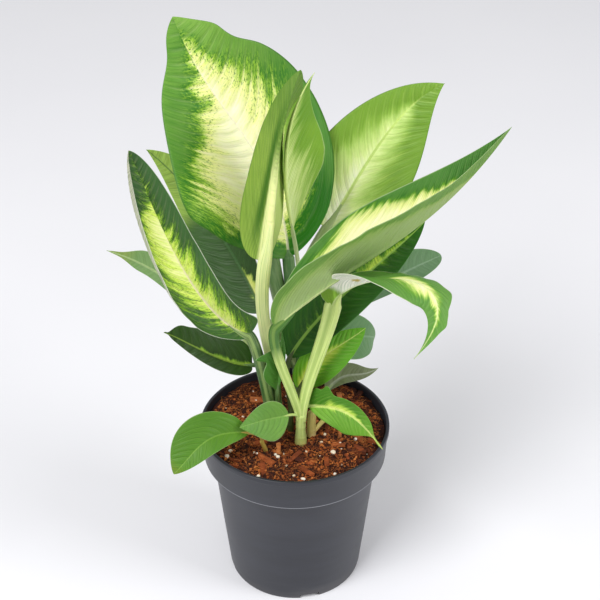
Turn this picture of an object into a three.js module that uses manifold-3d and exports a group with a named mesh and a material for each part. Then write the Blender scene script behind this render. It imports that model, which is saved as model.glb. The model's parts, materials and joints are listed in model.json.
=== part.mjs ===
// Dumb cane (Dieffenbachia) with cream-centred leaves in a round nursery pot.
// Millimetres, +Z up, the pot's foot on z = 0, the front of the plant towards -Y.
import * as THREE from "three";
import Module from "manifold-3d";

const wasm = await Module();
wasm.setup();

// Driving sizes of the pot.
const POT_HEIGHT = 119;
const RIM_RADIUS = 63.5;
const RIM_LIP_HEIGHT = 3.5;
const RIM_LIP_WIDTH = 2.1;
const COLLAR_TOP_RADIUS = 62.6;
const COLLAR_FOOT_RADIUS = 61.5;
const COLLAR_FOOT_Z = 95.4;
const BODY_TOP_RADIUS = 55.6;
const BODY_MID_RADIUS = 50.1;
const BODY_MID_Z = 41;
const BODY_FOOT_RADIUS = 45.9;
const BODY_FOOT_Z = 2.4;
const FOOT_RADIUS = 45.3;
const FOOT_RING_WIDTH = 2;
const WALL = 1.3;
const EDGE_ROUND = 0.5;
const FLOOR_UNDERSIDE = 3.4;
const FLOOR_TOP = 4.8;
const PAD_RADIUS = 14;
const PAD_TAPER = 1;
const DRAIN_HOLES = 6;
const DRAIN_RADIUS = 4;
const DRAIN_RING = 32;
const NOTCHES = 4;
const NOTCH_WIDTH = 13;
const NOTCH_HEIGHT = 3.4;
const NOTCH_START = THREE.MathUtils.degToRad(-77);
const ROUND_SIDES = 48;
const SMALL_ROUND_SIDES = 12;

// Driving sizes of the soil and of the bark chips that stand out of it.
const GAP = 0.3;
const SOIL_TOP = 114.4;
const SOIL_EDGE_TOP = 113.4;
const SOIL_FLARE = 0.5;
const SOIL_RINGS = [53, 43, 32, 20, 9];
const STEM_DEPTH_Z = 88;
const HOLE_GAP = 0.4;
const HOLE_CLEARANCE = 9;
const CHIPS = 22;
const CHIP_SEED = 7;
const CHIP_RING = [14, 50];
const CHIP_LENGTH = [7, 14];
const CHIP_WIDTH = [3, 5.5];
const CHIP_STAND = [1, 2.4];
const CHIP_SINK = 2.5;
const CHIP_TILT = [-0.25, 0.25];

// Driving sizes of every blade and stalk.
const BLADE_THICKNESS = 0.8;
const BLADE_END_HALF = 0.8;
const KEEL_RAMP = 4;
const STALK_GAP = 0.35;
const STALK_SIDES = 8;
const STALK_STEP = 12;
const STALK_STEPS = [4, 9];
const STALK_END_SHARE = 0.85;

// Where a blade's upper face looks when its roll is nought: to the front and up.
const FACING = new THREE.Vector3(0, -0.841, 0.541);

// One blade: rib is the midrib from the stalk to the tip, roll turns the upper face about it (stalk, tip),
// half is the greatest half-width, root and taper shape the outline towards the stalk and the tip,
// rise lifts the half out of the blade's plane (stalk, middle, tip) and curl bends it on to its margin.
const LEAVES = {
  leaf_tall_back: {
    rib: [[-4, 28, 230], [-19, 42, 287], [-46, 46, 331], [-72, 46, 386]],
    roll: [21, -2],
    left: { half: 51, root: 0.55, taper: 0.85, rise: [23, 26, 1], curl: -6 },
    right: { half: 55, root: 0.75, taper: 0.75, rise: [26, 3, 13], curl: -13 },
    keel: 1.4,
    colour: 0x5c9a3c,
  },
  leaf_centre_rolled: {
    rib: [[-18, -12, 251], [-12, -15, 302], [-7, -19, 342], [4, -10, 376]],
    roll: [199, 201],
    left: { half: 33, root: 0.75, taper: 0.65, rise: [36, 70, 47], curl: -1 },
    right: { half: 24.5, root: 0.3, taper: 0.7, rise: [30, 70, 40], curl: -7 },
    keel: 2.6,
    colour: 0x8fb65c,
  },
  leaf_centre_young: {
    rib: [[-1, 8, 261], [-5, 2, 300], [-2, 2, 336], [12, 5, 368]],
    roll: [198, 207],
    left: { half: 28.5, root: 0.88, taper: 1.28, rise: [45, 14, 58], curl: -5 },
    right: { half: 22, root: 0.9, taper: 0.9, rise: [110, 110, 110], curl: -10 },
    keel: 1,
    colour: 0x8fb65c,
  },
  leaf_back_right: {
    rib: [[21, 52, 238], [42, 64, 271], [66, 72, 306], [95, 74, 331]],
    roll: [-2, 0],
    left: { half: 34.5, root: 0.5, taper: 1.1, rise: [25, 14, 5], curl: -11 },
    right: { half: 34, root: 0.6, taper: 1.05, rise: [25, 14, 5], curl: -10 },
    keel: 1.2,
    colour: 0x7fae4c,
  },
  leaf_long_right: {
    rib: [[-11, -20, 208], [31, -28, 252], [76, -36, 294], [120, -42, 356]],
    roll: [-79, -61],
    left: { half: 30, root: 0.85, taper: 1.05, rise: [69, 63, 62], curl: -3 },
    right: { half: 27, root: 0.55, taper: 0.8, rise: [74, 57, 61], curl: -4 },
    keel: 1.2,
    colour: 0x4f8748,
  },
  leaf_front_left: {
    rib: [[-29, -22, 204], [-58, -42, 250], [-78, -47, 303], [-90, -55, 348]],
    roll: [-12, -1],
    left: { half: 18.5, root: 0.65, taper: 0.8, rise: [4, 14, 18], curl: 79 },
    right: { half: 17, root: 0.45, taper: 0.7, rise: [30, 19, 3], curl: 0 },
    keel: 1.2,
    colour: 0x3f7a44,
  },
  leaf_behind_left: {
    rib: [[-21, 12, 208], [-41, 41, 225], [-67, 61, 258], [-96, 69, 287]],
    roll: [-26, 0],
    left: { half: 20, root: 0.5, taper: 1.1, rise: [18, 12, 6], curl: -14 },
    right: { half: 24, root: 0.55, taper: 0.9, rise: [25, 15, 5], curl: -10 },
    keel: 1,
    colour: 0x3c6e46,
  },
  leaf_left_side: {
    rib: [[-38, 12, 183], [-67, 15, 209], [-91, 14, 230], [-118, 12, 245]],
    roll: [178, 176],
    left: { half: 14.5, root: 0.5, taper: 1.15, rise: [25, 15, 5], curl: -10 },
    right: { half: 7.5, root: 0.45, taper: 1, rise: [25, 16, 5], curl: -9 },
    keel: 1,
    colour: 0x5d8a4c,
  },
  leaf_low_left: {
    rib: [[-28, 6, 161], [-49, 8, 165], [-70, 15, 172], [-86, 16, 180]],
    roll: [5, 1],
    left: { half: 8.5, root: 0.3, taper: 1.2, rise: [26, 16, 5], curl: -9 },
    right: { half: 17, root: 0.3, taper: 0.95, rise: [25, 15, 5], curl: -10 },
    keel: 0.8,
    colour: 0x3f7f3a,
  },
  leaf_dark_right: {
    rib: [[-3, 2, 170], [21, 9, 202], [53, 12, 235], [81, 12, 266]],
    roll: [-4, -1],
    left: { half: 20, root: 0.55, taper: 0.9, rise: [25, 15, 5], curl: -10 },
    right: { half: 17, root: 0.65, taper: 0.9, rise: [26, 16, 5], curl: -9 },
    keel: 1,
    colour: 0x3a7a2c,
  },
  leaf_arching_right: {
    rib: [[24, -13, 220], [48, -31, 250], [80, -51, 254], [71, -65, 216]],
    roll: [-44, 18],
    left: { half: 23.5, root: 0.7, taper: 1.3, rise: [-9, -61, 5], curl: -8 },
    right: { half: 25, root: 1.5, taper: 1.6, rise: [90, 56, -31], curl: -3 },
    keel: 1,
    colour: 0x5c9a4c,
  },
  leaf_far_right: {
    rib: [[27, 50, 170], [48, 54, 187], [73, 57, 201], [98, 58, 214]],
    roll: [189, 183],
    left: { half: 10.5, root: 0.65, taper: 0.45, rise: [26, 18, 4], curl: -8 },
    right: { half: 17, root: 0.55, taper: 0.6, rise: [25, 15, 5], curl: -10 },
    keel: 0.9,
    colour: 0x55805c,
  },
  leaf_round_right: {
    rib: [[15, 14, 158], [29, 28, 165], [46, 41, 160], [56, 66, 142]],
    roll: [178, 172],
    left: { half: 16, root: 1, taper: 0.7, rise: [25, 13, 4], curl: -12 },
    right: { half: 18.5, root: 0.6, taper: 0.85, rise: [25, 14, 5], curl: -10 },
    keel: 0.9,
    colour: 0x4f7f5c,
  },
  leaf_mid_right: {
    rib: [[3, 2, 145], [14, 4, 164], [30, 6, 177], [46, 8, 189]],
    roll: [5, 3],
    left: { half: 12, root: 0.55, taper: 0.8, rise: [25, 17, 5], curl: -9 },
    right: { half: 15, root: 0.6, taper: 0.9, rise: [25, 14, 5], curl: -10 },
    keel: 0.8,
    colour: 0x55a02c,
  },
  leaf_low_right: {
    rib: [[22, 26, 125], [34, 33, 132], [45, 37, 131], [58, 46, 130]],
    roll: [-2, -3],
    left: { half: 9.5, root: 0.5, taper: 1.05, rise: [25, 14, 5], curl: -11 },
    right: { half: 5, root: 0.6, taper: 0.95, rise: [25, 15, 5], curl: -10 },
    keel: 0.6,
    colour: 0x6b8f5c,
  },
  leaf_small_right: {
    rib: [[9, -12, 141], [29, -20, 144], [43, -27, 138], [58, -35, 127]],
    roll: [3, 10],
    left: { half: 8.5, root: 0.5, taper: 1.1, rise: [24, 15, 6], curl: -10 },
    right: { half: 12.5, root: 0.75, taper: 1.2, rise: [24, 13, 3], curl: -12 },
    keel: 0.7,
    colour: 0x62b03c,
  },
  leaf_over_rim: {
    rib: [[-29, -34, 136], [-50, -45, 142], [-63, -54, 137], [-76, -62, 125]],
    roll: [7, 2],
    left: { half: 10, root: 0.7, taper: 0.8, rise: [25, 16, 5], curl: -10 },
    right: { half: 18.5, root: 0.75, taper: 0.7, rise: [24, 15, 5], curl: -11 },
    keel: 0.7,
    colour: 0x5aa03c,
  },
  leaf_small_front: {
    rib: [[-4, -22, 141], [-15, -28, 143], [-23, -34, 145], [-35, -40, 145]],
    roll: [-3, -1],
    left: { half: 15, root: 0.65, taper: 0.95, rise: [25, 14, 5], curl: -11 },
    right: { half: 12, root: 0.55, taper: 0.9, rise: [25, 15, 5], curl: -10 },
    keel: 0.6,
    colour: 0x55a03c,
  },
  leaf_clasping: {
    rib: [[-11, -14, 154], [-12, -14, 171], [-13, -13, 185], [-14, -11, 200]],
    roll: [-1, 8],
    left: { half: 15.5, root: 1, taper: 1.35, rise: [35, 45, 30], curl: -7 },
    right: { half: 2.5, root: 1.1, taper: 1.2, rise: [25, 15, 5], curl: -10 },
    keel: 0.6,
    colour: 0x5a9a3c,
  },
};

// Leaves short enough for a coarser grid.
const SMALL_HALF = 21;
const LARGE_ROWS = 13;
const SMALL_ROWS = 9;
const LARGE_COLUMNS = [-1, -0.72, -0.4, -0.11, 0, 0.11, 0.4, 0.72, 1];
const SMALL_COLUMNS = [-1, -0.55, -0.12, 0, 0.12, 0.55, 1];
const ROW_CROWDING = 0.6;
const POINTED_SHARE = 0.06;
const POINTED_RAMP = 8;
const SHARPEST_CORNER = 0.16;

// One shoot: an upright cane out of the soil, a cut or bare top, and the stalks that leave it.
// from is where a stalk leaves the cane, radii are at the cane and at the blade. lead and reach say how long
// the stalk keeps the cane's direction and the blade's, as shares of the distance. A stalk that clasps the
// next one is flat, to a share of its width, and has a groove along its front.
const SHOOTS = {
  shoot_left: {
    foot: [-10, -3],
    cane: [[-10, -3, 116], [-11, -4, 128], [-12, -4, 140]],
    radii: [3.7, 3.6, 3.4],
    stalks: [
      {
        leaf: "leaf_centre_rolled", from: [-12, -4, 134], radii: [3.4, 4.6],
        lead: 0.4, reach: 0.4, flat: 0.8, groove: 0.2,
      },
      {
        leaf: "leaf_front_left", from: [-14.5, -7, 119], radii: [4, 3.6],
        lead: 0.1, reach: 0.12, flat: 0.7, groove: 0.8,
      },
      { leaf: "leaf_left_side", from: [-12, -3, 135], radii: [2, 1.6], lead: 0.55, reach: 0.25 },
      { leaf: "leaf_low_left", from: [-11, -3, 126], radii: [1.8, 1.5], lead: 0.5, reach: 0.4 },
      { leaf: "leaf_clasping", from: [-11, -6, 130], radii: [1.8, 1.4], lead: 0.3, reach: 0.3 },
    ],
    colour: 0xa9bf6c,
  },
  shoot_centre: {
    foot: [4, -17],
    cane: [[4, -17, 116], [4, -17, 126], [4, -17, 137]],
    radii: [4, 3.2, 3.3],
    stalks: [
      {
        leaf: "leaf_long_right", from: [3.5, -17.5, 133], radii: [2.8, 3],
        lead: 0.2, reach: 0.15, flat: 0.8, groove: 0.8,
      },
      {
        leaf: "leaf_arching_right", from: [4.5, -17, 132], radii: [3.2, 6.8],
        lead: 0.3, reach: 0.3, flat: 0.6, groove: 1.2,
      },
      { leaf: "leaf_small_front", from: [3.5, -18, 134], radii: [1, 0.9], lead: 0.4, reach: 0.4 },
      { leaf: "leaf_small_right", from: [5, -16, 132], radii: [1.3, 1.3], lead: 0.6, reach: 0.4 },
    ],
    colour: 0xc4cf84,
  },
  shoot_dark: {
    foot: [-3, -5],
    cane: [[-3, -5, 116], [-3, -4, 124], [-2, -2, 132]],
    radii: [2.4, 2.3, 2.2],
    stalks: [
      { leaf: "leaf_mid_right", from: [-2, -2, 129], radii: [2, 1.5], lead: 0.4, reach: 0.4 },
      { leaf: "leaf_dark_right", from: [-2.2, -2.5, 127], radii: [2.2, 1.8], lead: 0.4, reach: 0.3 },
    ],
    colour: 0x5c6b3c,
  },
  shoot_back: {
    foot: [4, 20],
    cane: [[4, 20, 116], [4, 20, 130], [3, 20, 150]],
    radii: [4.6, 4.4, 4],
    stalks: [
      { leaf: "leaf_tall_back", from: [3, 20, 144], radii: [3.6, 2.6], lead: 0.4, reach: 0.3 },
      { leaf: "leaf_centre_young", from: [3, 19, 146], radii: [2, 1.3], lead: 0.4, reach: 0.4 },
      { leaf: "leaf_back_right", from: [4, 21, 146], radii: [2.6, 2.1], lead: 0.4, reach: 0.3 },
      { leaf: "leaf_behind_left", from: [2, 20, 142], radii: [2.4, 1.9], lead: 0.4, reach: 0.2 },
      { leaf: "leaf_far_right", from: [6, 23, 122], radii: [2.2, 1.7], lead: 0.05, reach: 0.2 },
      { leaf: "leaf_round_right", from: [5, 20, 130], radii: [2, 1.6], lead: 0.4, reach: 0.3 },
      { leaf: "leaf_low_right", from: [6, 20, 122], radii: [1.6, 1.3], lead: 0.1, reach: 0.3 },
    ],
    colour: 0xa9bf6c,
  },
  shoot_stump: {
    foot: [11, -10],
    cane: [[11, -10, 116], [11, -10, 124], [11.5, -9, 133]],
    radii: [3.1, 2.9, 2.7],
    stalks: [],
    twig: { from: [11.5, -10, 117], to: [19, -7, 125], radii: [1.6, 1.5] },
    colour: 0xc0b04a,
  },
  sprout_over_rim: {
    foot: [-19, -27],
    cane: [[-19, -27, 116], [-20, -28, 120], [-21.5, -29, 125]],
    radii: [1.5, 1.4, 1.3],
    stalks: [
      { leaf: "leaf_over_rim", from: [-21, -28.7, 123.5], radii: [1.2, 1.2], lead: 0.4, reach: 0.4 },
    ],
    colour: 0xb09a3c,
  },
};

// Geometry helpers.

/** A closed solid from rings of equal length, each end closed by a fan round its middle. */
function ringSolid(rings) {
  const count = rings[0].length;
  const points = rings.flat();
  const middle = (ring) => ring.reduce((sum, p) => sum.add(p), new THREE.Vector3()).divideScalar(count);
  const first = points.length;
  points.push(middle(rings[0]), middle(rings[rings.length - 1]));
  const triangles = [];
  for (let k = 0; k < rings.length - 1; k++) {
    for (let j = 0; j < count; j++) {
      const a = k * count + j;
      const b = k * count + ((j + 1) % count);
      triangles.push(a, b, b + count, a, b + count, a + count);
    }
  }
  const last = (rings.length - 1) * count;
  for (let j = 0; j < count; j++) {
    const next = (j + 1) % count;
    triangles.push(first, next, j);
    triangles.push(first + 1, last + j, last + next);
  }
  return solidOf(points, triangles);
}

/** A closed solid from points and triangle corners. */
function solidOf(points, triangles) {
  return new wasm.Manifold(
    new wasm.Mesh({
      numProp: 3,
      vertProperties: new Float32Array(points.flatMap((p) => [p.x, p.y, p.z])),
      triVerts: new Uint32Array(triangles),
    }),
  );
}

/** The mesh geometry of a solid. */
function geometryOf(solid) {
  const mesh = solid.getMesh();
  const geometry = new THREE.BufferGeometry();
  geometry.setAttribute("position", new THREE.BufferAttribute(new Float32Array(mesh.vertProperties), 3));
  geometry.setIndex(new THREE.BufferAttribute(new Uint32Array(mesh.triVerts), 1));
  geometry.computeVertexNormals();
  return geometry;
}

/** A level ring of points at a radius and height about the pot's axis, or about an upright one at x, y. */
function ringAt(radius, z, count = ROUND_SIDES, x = 0, y = 0) {
  return Array.from({ length: count }, (_, j) => {
    const angle = (2 * Math.PI * j) / count;
    return new THREE.Vector3(x + radius * Math.cos(angle), y + radius * Math.sin(angle), z);
  });
}

/** A round solid from its outline, which starts under the floor's middle and ends above it. */
function turned(outline) {
  return ringSolid(outline.map(([radius, z]) => ringAt(radius, z)));
}

/** A small upright cylinder. */
function cylinder(x, y, radius, bottom, top) {
  return ringSolid([bottom, top].map((z) => ringAt(radius, z, SMALL_ROUND_SIDES, x, y)));
}

/** A box with its middle, sizes and turns given; slope tips it about its own length. */
function box(middle, sizes, turn, slope = 0) {
  const [length, width, height] = sizes.map((size) => size / 2);
  const corners = [[-1, -1], [1, -1], [1, 1], [-1, 1]];
  const move = new THREE.Matrix4()
    .makeRotationFromEuler(new THREE.Euler(slope, 0, turn, "ZXY"))
    .setPosition(middle);
  const ring = (side) =>
    corners.map(([i, j]) => new THREE.Vector3(i * length, j * width, side * height).applyMatrix4(move));
  return ringSolid([ring(-1), ring(1)]);
}

/** The cubic through four points at t = 0, 1/3, 2/3 and 1. */
function cubicAt(points, t) {
  const weights = [
    (-9 / 2) * (t - 1 / 3) * (t - 2 / 3) * (t - 1),
    (27 / 2) * t * (t - 2 / 3) * (t - 1),
    (-27 / 2) * t * (t - 1 / 3) * (t - 1),
    (9 / 2) * t * (t - 1 / 3) * (t - 2 / 3),
  ];
  const sum = new THREE.Vector3();
  points.forEach((p, i) => sum.addScaledVector(new THREE.Vector3(...p), weights[i]));
  return sum;
}

/** The unit direction of that cubic. */
function directionAt(points, t) {
  const step = 1e-3;
  return cubicAt(points, t + step).sub(cubicAt(points, t - step)).normalize();
}

/** The curve through three values at 0, 1/2 and 1. */
function threeAt([start, middle, end], t) {
  return start * (1 - t) * (1 - 2 * t) + middle * 4 * t * (1 - t) + end * t * (2 * t - 1);
}

/** Repeatable numbers between 0 and 1. */
function seeded(seed) {
  let state = seed;
  return () => {
    state = (state * 1664525 + 1013904223) % 4294967296;
    return state / 4294967296;
  };
}

// Blades.

/** Half-width of a blade's side at s, from 0 at the stalk to 1 at the tip. */
function halfWidthAt({ half, root, taper }, s) {
  const peak = (root / (root + taper)) ** root * (taper / (root + taper)) ** taper;
  const rounded = (s ** root * (1 - s) ** taper) / peak;
  const pointed = (1 - s) * Math.min(1, POINTED_RAMP * s);
  return Math.max(BLADE_END_HALF, half * ((1 - POINTED_SHARE) * rounded + POINTED_SHARE * pointed));
}

/** Point of a blade's middle surface at s along the rib and u across it, from -1 (left) to 1 (right). */
function bladePoint(leaf, s, u) {
  const along = directionAt(leaf.rib, s);
  const roll = THREE.MathUtils.degToRad(THREE.MathUtils.lerp(leaf.roll[0], leaf.roll[1], s));
  const front = FACING.clone().addScaledVector(along, -FACING.dot(along)).normalize();
  const up = front.applyAxisAngle(along, roll);
  const across = new THREE.Vector3().crossVectors(along, up);
  const side = u < 0 ? leaf.left : leaf.right;
  const width = halfWidthAt(side, s) * Math.abs(u);
  const rise = THREE.MathUtils.degToRad(threeAt(side.rise, s));
  const curl = THREE.MathUtils.degToRad(side.curl) * Math.abs(u);
  const chord = Math.abs(curl) < 1e-6 ? 1 : Math.sin(curl / 2) / (curl / 2);
  return cubicAt(leaf.rib, s)
    .addScaledVector(across, Math.sign(u) * width * chord * Math.cos(rise + curl / 2))
    .addScaledVector(up, width * chord * Math.sin(rise + curl / 2));
}

/** A blade as a closed sheet with a keel under its midrib. */
function blade(leaf) {
  const small = Math.max(leaf.left.half, leaf.right.half) < SMALL_HALF;
  const columns = small ? SMALL_COLUMNS : LARGE_COLUMNS;
  const rows = small ? SMALL_ROWS : LARGE_ROWS;
  const stations = Array.from({ length: rows + 1 }, (_, i) => {
    const t = i / rows;
    return t - (ROW_CROWDING * Math.sin(2 * Math.PI * t)) / (2 * Math.PI);
  });
  const sheet = stations.map((s) => columns.map((u) => bladePoint(leaf, s, u)));
  const wide = columns.length;
  const centre = (wide - 1) / 2;
  const at = (i, j) => i * wide + j;

  const faces = [];
  for (let i = 0; i < rows; i++) {
    for (let j = 0; j < wide - 1; j++) {
      faces.push([at(i, j), at(i, j + 1), at(i + 1, j + 1)], [at(i, j), at(i + 1, j + 1), at(i + 1, j)]);
    }
  }
  const flat = sheet.flat();
  const normals = flat.map(() => new THREE.Vector3());
  const counts = flat.map(() => 0);
  for (const face of faces) {
    const [a, b, c] = face.map((k) => flat[k]);
    const normal = b.clone().sub(a).cross(c.clone().sub(a)).normalize();
    face.forEach((k) => {
      normals[k].add(normal);
      counts[k] += 1;
    });
  }
  const offsets = normals.map((sum, k) => {
    const mean = sum.divideScalar(counts[k]);
    return mean.multiplyScalar(BLADE_THICKNESS / 2 / Math.max(mean.lengthSq(), SHARPEST_CORNER));
  });
  const upper = flat.map((p, k) => p.clone().add(offsets[k]));
  const lower = flat.map((p, k) => {
    const row = Math.floor(k / wide);
    const fade = Math.min(1, KEEL_RAMP * stations[row]) * (1 - stations[row]);
    const keel = k % wide === centre ? leaf.keel * fade : 0;
    return p.clone().sub(offsets[k]).addScaledVector(offsets[k].clone().normalize(), -keel);
  });

  const edge = [];
  for (let j = 0; j < wide - 1; j++) edge.push(at(0, j));
  for (let i = 0; i < rows; i++) edge.push(at(i, wide - 1));
  for (let j = wide - 1; j > 0; j--) edge.push(at(rows, j));
  for (let i = rows; i > 0; i--) edge.push(at(i, 0));
  const below = flat.length;
  const triangles = faces.flatMap(([a, b, c]) => [a, b, c, below + a, below + c, below + b]);
  edge.forEach((a, n) => {
    const b = edge[(n + 1) % edge.length];
    triangles.push(b, a, below + a, b, below + a, below + b);
  });
  return solidOf([...upper, ...lower], triangles);
}

// Stems.

/** A stem along points with a radius at each, flattened by flat and grooved along its front by groove. */
function stem(points, radii, { count = STALK_SIDES, flat = 1, groove = 0 } = {}) {
  const rings = points.map((p, k) => {
    const before = points[Math.max(0, k - 1)];
    const after = points[Math.min(points.length - 1, k + 1)];
    const along = after.clone().sub(before).normalize();
    const front = FACING.clone().addScaledVector(along, -FACING.dot(along)).normalize();
    const side = new THREE.Vector3().crossVectors(along, front);
    const share = k / (points.length - 1);
    return Array.from({ length: count }, (_, j) => {
      const angle = (2 * Math.PI * j) / count;
      const [c, s] = [Math.cos(angle), Math.sin(angle)];
      const depth = THREE.MathUtils.lerp(1, flat, share);
      const channel = s > 0 ? 1 - groove * share * (1 - Math.abs(c)) : 1;
      return p
        .clone()
        .addScaledVector(side, -radii[k] * c)
        .addScaledVector(front, radii[k] * depth * channel * s);
    });
  });
  return ringSolid(rings);
}

/** A leaf stalk from its cane to just short of its blade. */
function stalk({ leaf, from, radii, lead, reach, flat, groove }) {
  const rib = LEAVES[leaf].rib;
  const start = new THREE.Vector3(...from);
  const arrive = directionAt(rib, 0);
  const end = cubicAt(rib, 0).addScaledVector(arrive, -STALK_GAP);
  const distance = start.distanceTo(end);
  const curve = new THREE.CubicBezierCurve3(
    start,
    start.clone().addScaledVector(new THREE.Vector3(0, 0, 1), lead * distance),
    end.clone().addScaledVector(arrive, -reach * distance),
    end,
  );
  const steps = THREE.MathUtils.clamp(Math.round(distance / STALK_STEP), ...STALK_STEPS);
  const points = curve.getPoints(steps);
  const thickness = points.map((_, k) => THREE.MathUtils.lerp(radii[0], radii[1], k / steps));
  thickness[steps] *= STALK_END_SHARE;
  return stem(points, thickness, { flat, groove });
}

/** A cane with its stalks, its foot straight down in the soil. */
function shoot({ foot, cane, radii, stalks, twig }) {
  const points = [new THREE.Vector3(...foot, STEM_DEPTH_Z), ...cane.map((p) => new THREE.Vector3(...p))];
  const solids = [stem(points, [radii[0], ...radii], { count: SMALL_ROUND_SIDES }), ...stalks.map(stalk)];
  if (twig) {
    const ends = [new THREE.Vector3(...twig.from), new THREE.Vector3(...twig.to)];
    solids.push(stem(ends, twig.radii));
  }
  return wasm.Manifold.union(solids);
}

// Pot and soil.

/** The pot: body, stepped collar and lip, floor with a middle pad, drain holes and a notched foot ring. */
function pot() {
  const shell = turned([
    [PAD_RADIUS, 0],
    [PAD_RADIUS + PAD_TAPER, FLOOR_UNDERSIDE],
    [FOOT_RADIUS - FOOT_RING_WIDTH, FLOOR_UNDERSIDE],
    [FOOT_RADIUS - FOOT_RING_WIDTH, 0],
    [FOOT_RADIUS, 0],
    [BODY_FOOT_RADIUS, BODY_FOOT_Z],
    [BODY_MID_RADIUS, BODY_MID_Z],
    [BODY_TOP_RADIUS, COLLAR_FOOT_Z],
    [COLLAR_FOOT_RADIUS - EDGE_ROUND, COLLAR_FOOT_Z],
    [COLLAR_FOOT_RADIUS, COLLAR_FOOT_Z + EDGE_ROUND],
    [COLLAR_TOP_RADIUS, POT_HEIGHT - RIM_LIP_HEIGHT],
    [RIM_RADIUS, POT_HEIGHT - RIM_LIP_HEIGHT],
    [RIM_RADIUS, POT_HEIGHT - EDGE_ROUND],
    [RIM_RADIUS - EDGE_ROUND, POT_HEIGHT],
    [RIM_RADIUS - RIM_LIP_WIDTH + EDGE_ROUND, POT_HEIGHT],
    [RIM_RADIUS - RIM_LIP_WIDTH, POT_HEIGHT - EDGE_ROUND],
    [COLLAR_FOOT_RADIUS - WALL, COLLAR_FOOT_Z + WALL],
    [BODY_TOP_RADIUS - WALL, COLLAR_FOOT_Z + WALL],
    [BODY_MID_RADIUS - WALL, BODY_MID_Z],
    [BODY_FOOT_RADIUS - WALL, FLOOR_TOP],
    [PAD_RADIUS, FLOOR_TOP],
  ]);
  const cuts = [];
  for (let k = 0; k < DRAIN_HOLES; k++) {
    const angle = (2 * Math.PI * k) / DRAIN_HOLES;
    const [x, y] = [DRAIN_RING * Math.cos(angle), DRAIN_RING * Math.sin(angle)];
    cuts.push(cylinder(x, y, DRAIN_RADIUS, FLOOR_UNDERSIDE - WALL, FLOOR_TOP + WALL));
  }
  for (let k = 0; k < NOTCHES; k++) {
    const angle = NOTCH_START + (2 * Math.PI * k) / NOTCHES;
    const middle = new THREE.Vector3(FOOT_RADIUS * Math.cos(angle), FOOT_RADIUS * Math.sin(angle), 0);
    cuts.push(box(middle, [4 * FOOT_RING_WIDTH, NOTCH_WIDTH, 2 * NOTCH_HEIGHT], angle));
  }
  return shell.subtract(wasm.Manifold.union(cuts));
}

/** Height of the soil's uneven top: broad swells and short lumps, up to 1.1 above and below its mean. */
function soilTopAt(x, y) {
  const swell = 0.7 * Math.sin(0.13 * x + 1) * Math.cos(0.11 * y + 0.4);
  const lump = 0.4 * Math.sin(0.31 * x - 0.27 * y);
  return SOIL_TOP + swell + lump;
}

/** The soil: it fills the pot to just under the rim, holds bark chips, and has a plain hole for each stem. */
function soil() {
  const inner = (radius) => radius - WALL - GAP;
  const wall = [
    [inner(BODY_FOOT_RADIUS), FLOOR_TOP + GAP],
    [inner(BODY_MID_RADIUS), BODY_MID_Z],
    [inner(BODY_TOP_RADIUS), COLLAR_FOOT_Z + WALL + GAP],
    [inner(COLLAR_FOOT_RADIUS), COLLAR_FOOT_Z + WALL + GAP],
    [inner(COLLAR_FOOT_RADIUS) + SOIL_FLARE, SOIL_EDGE_TOP],
  ];
  const rings = [
    ...wall.map(([radius, z]) => ringAt(radius, z)),
    ...SOIL_RINGS.map((radius) => ringAt(radius, 0).map((p) => p.setZ(soilTopAt(p.x, p.y)))),
  ];
  const random = seeded(CHIP_SEED);
  const between = ([low, high]) => low + (high - low) * random();
  const chips = Array.from({ length: CHIPS }, () => {
    const [radius, angle] = [between(CHIP_RING), between([0, 2 * Math.PI])];
    const [x, y] = [radius * Math.cos(angle), radius * Math.sin(angle)];
    const stand = between(CHIP_STAND);
    const middle = new THREE.Vector3(x, y, soilTopAt(x, y) + (stand - CHIP_SINK) / 2);
    const sizes = [between(CHIP_LENGTH), between(CHIP_WIDTH), stand + CHIP_SINK];
    return box(middle, sizes, between([0, Math.PI]), between(CHIP_TILT));
  });
  const holes = Object.values(SHOOTS).map(({ foot, radii }) =>
    cylinder(...foot, radii[0] + HOLE_GAP, STEM_DEPTH_Z - HOLE_GAP, SOIL_TOP + HOLE_CLEARANCE),
  );
  return wasm.Manifold.union([ringSolid(rings), ...chips]).subtract(wasm.Manifold.union(holes));
}

// The plant.
const plant = new THREE.Group();
plant.name = "potted_dieffenbachia";

/** Adds one named solid with its own material. */
function add(name, solid, color, roughness) {
  const mesh = new THREE.Mesh(
    geometryOf(solid),
    new THREE.MeshStandardMaterial({ color, roughness, metalness: 0 }),
  );
  mesh.name = name;
  plant.add(mesh);
}

add("pot", pot(), 0x2b2d31, 0.45);
add("soil", soil(), 0x5a3324, 0.95);
for (const [name, size] of Object.entries(SHOOTS)) add(name, shoot(size), size.colour, 0.5);
for (const [name, leaf] of Object.entries(LEAVES)) add(name, blade(leaf), leaf.colour, 0.45);

export default plant;
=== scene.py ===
"""A young dumb cane (Dieffenbachia) with cream-centred leaves in a round black nursery pot.

Blender 4.5, metres, +Z up. The pot's foot stands on z = 0 and the front of the plant looks towards -Y. The
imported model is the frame: each leaf, shoot, pot and soil node is replaced by a finer piece of the same form.
"""

import json
import logging
import math
from dataclasses import dataclass
from enum import Enum
from typing import Any, Callable, Sequence

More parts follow.
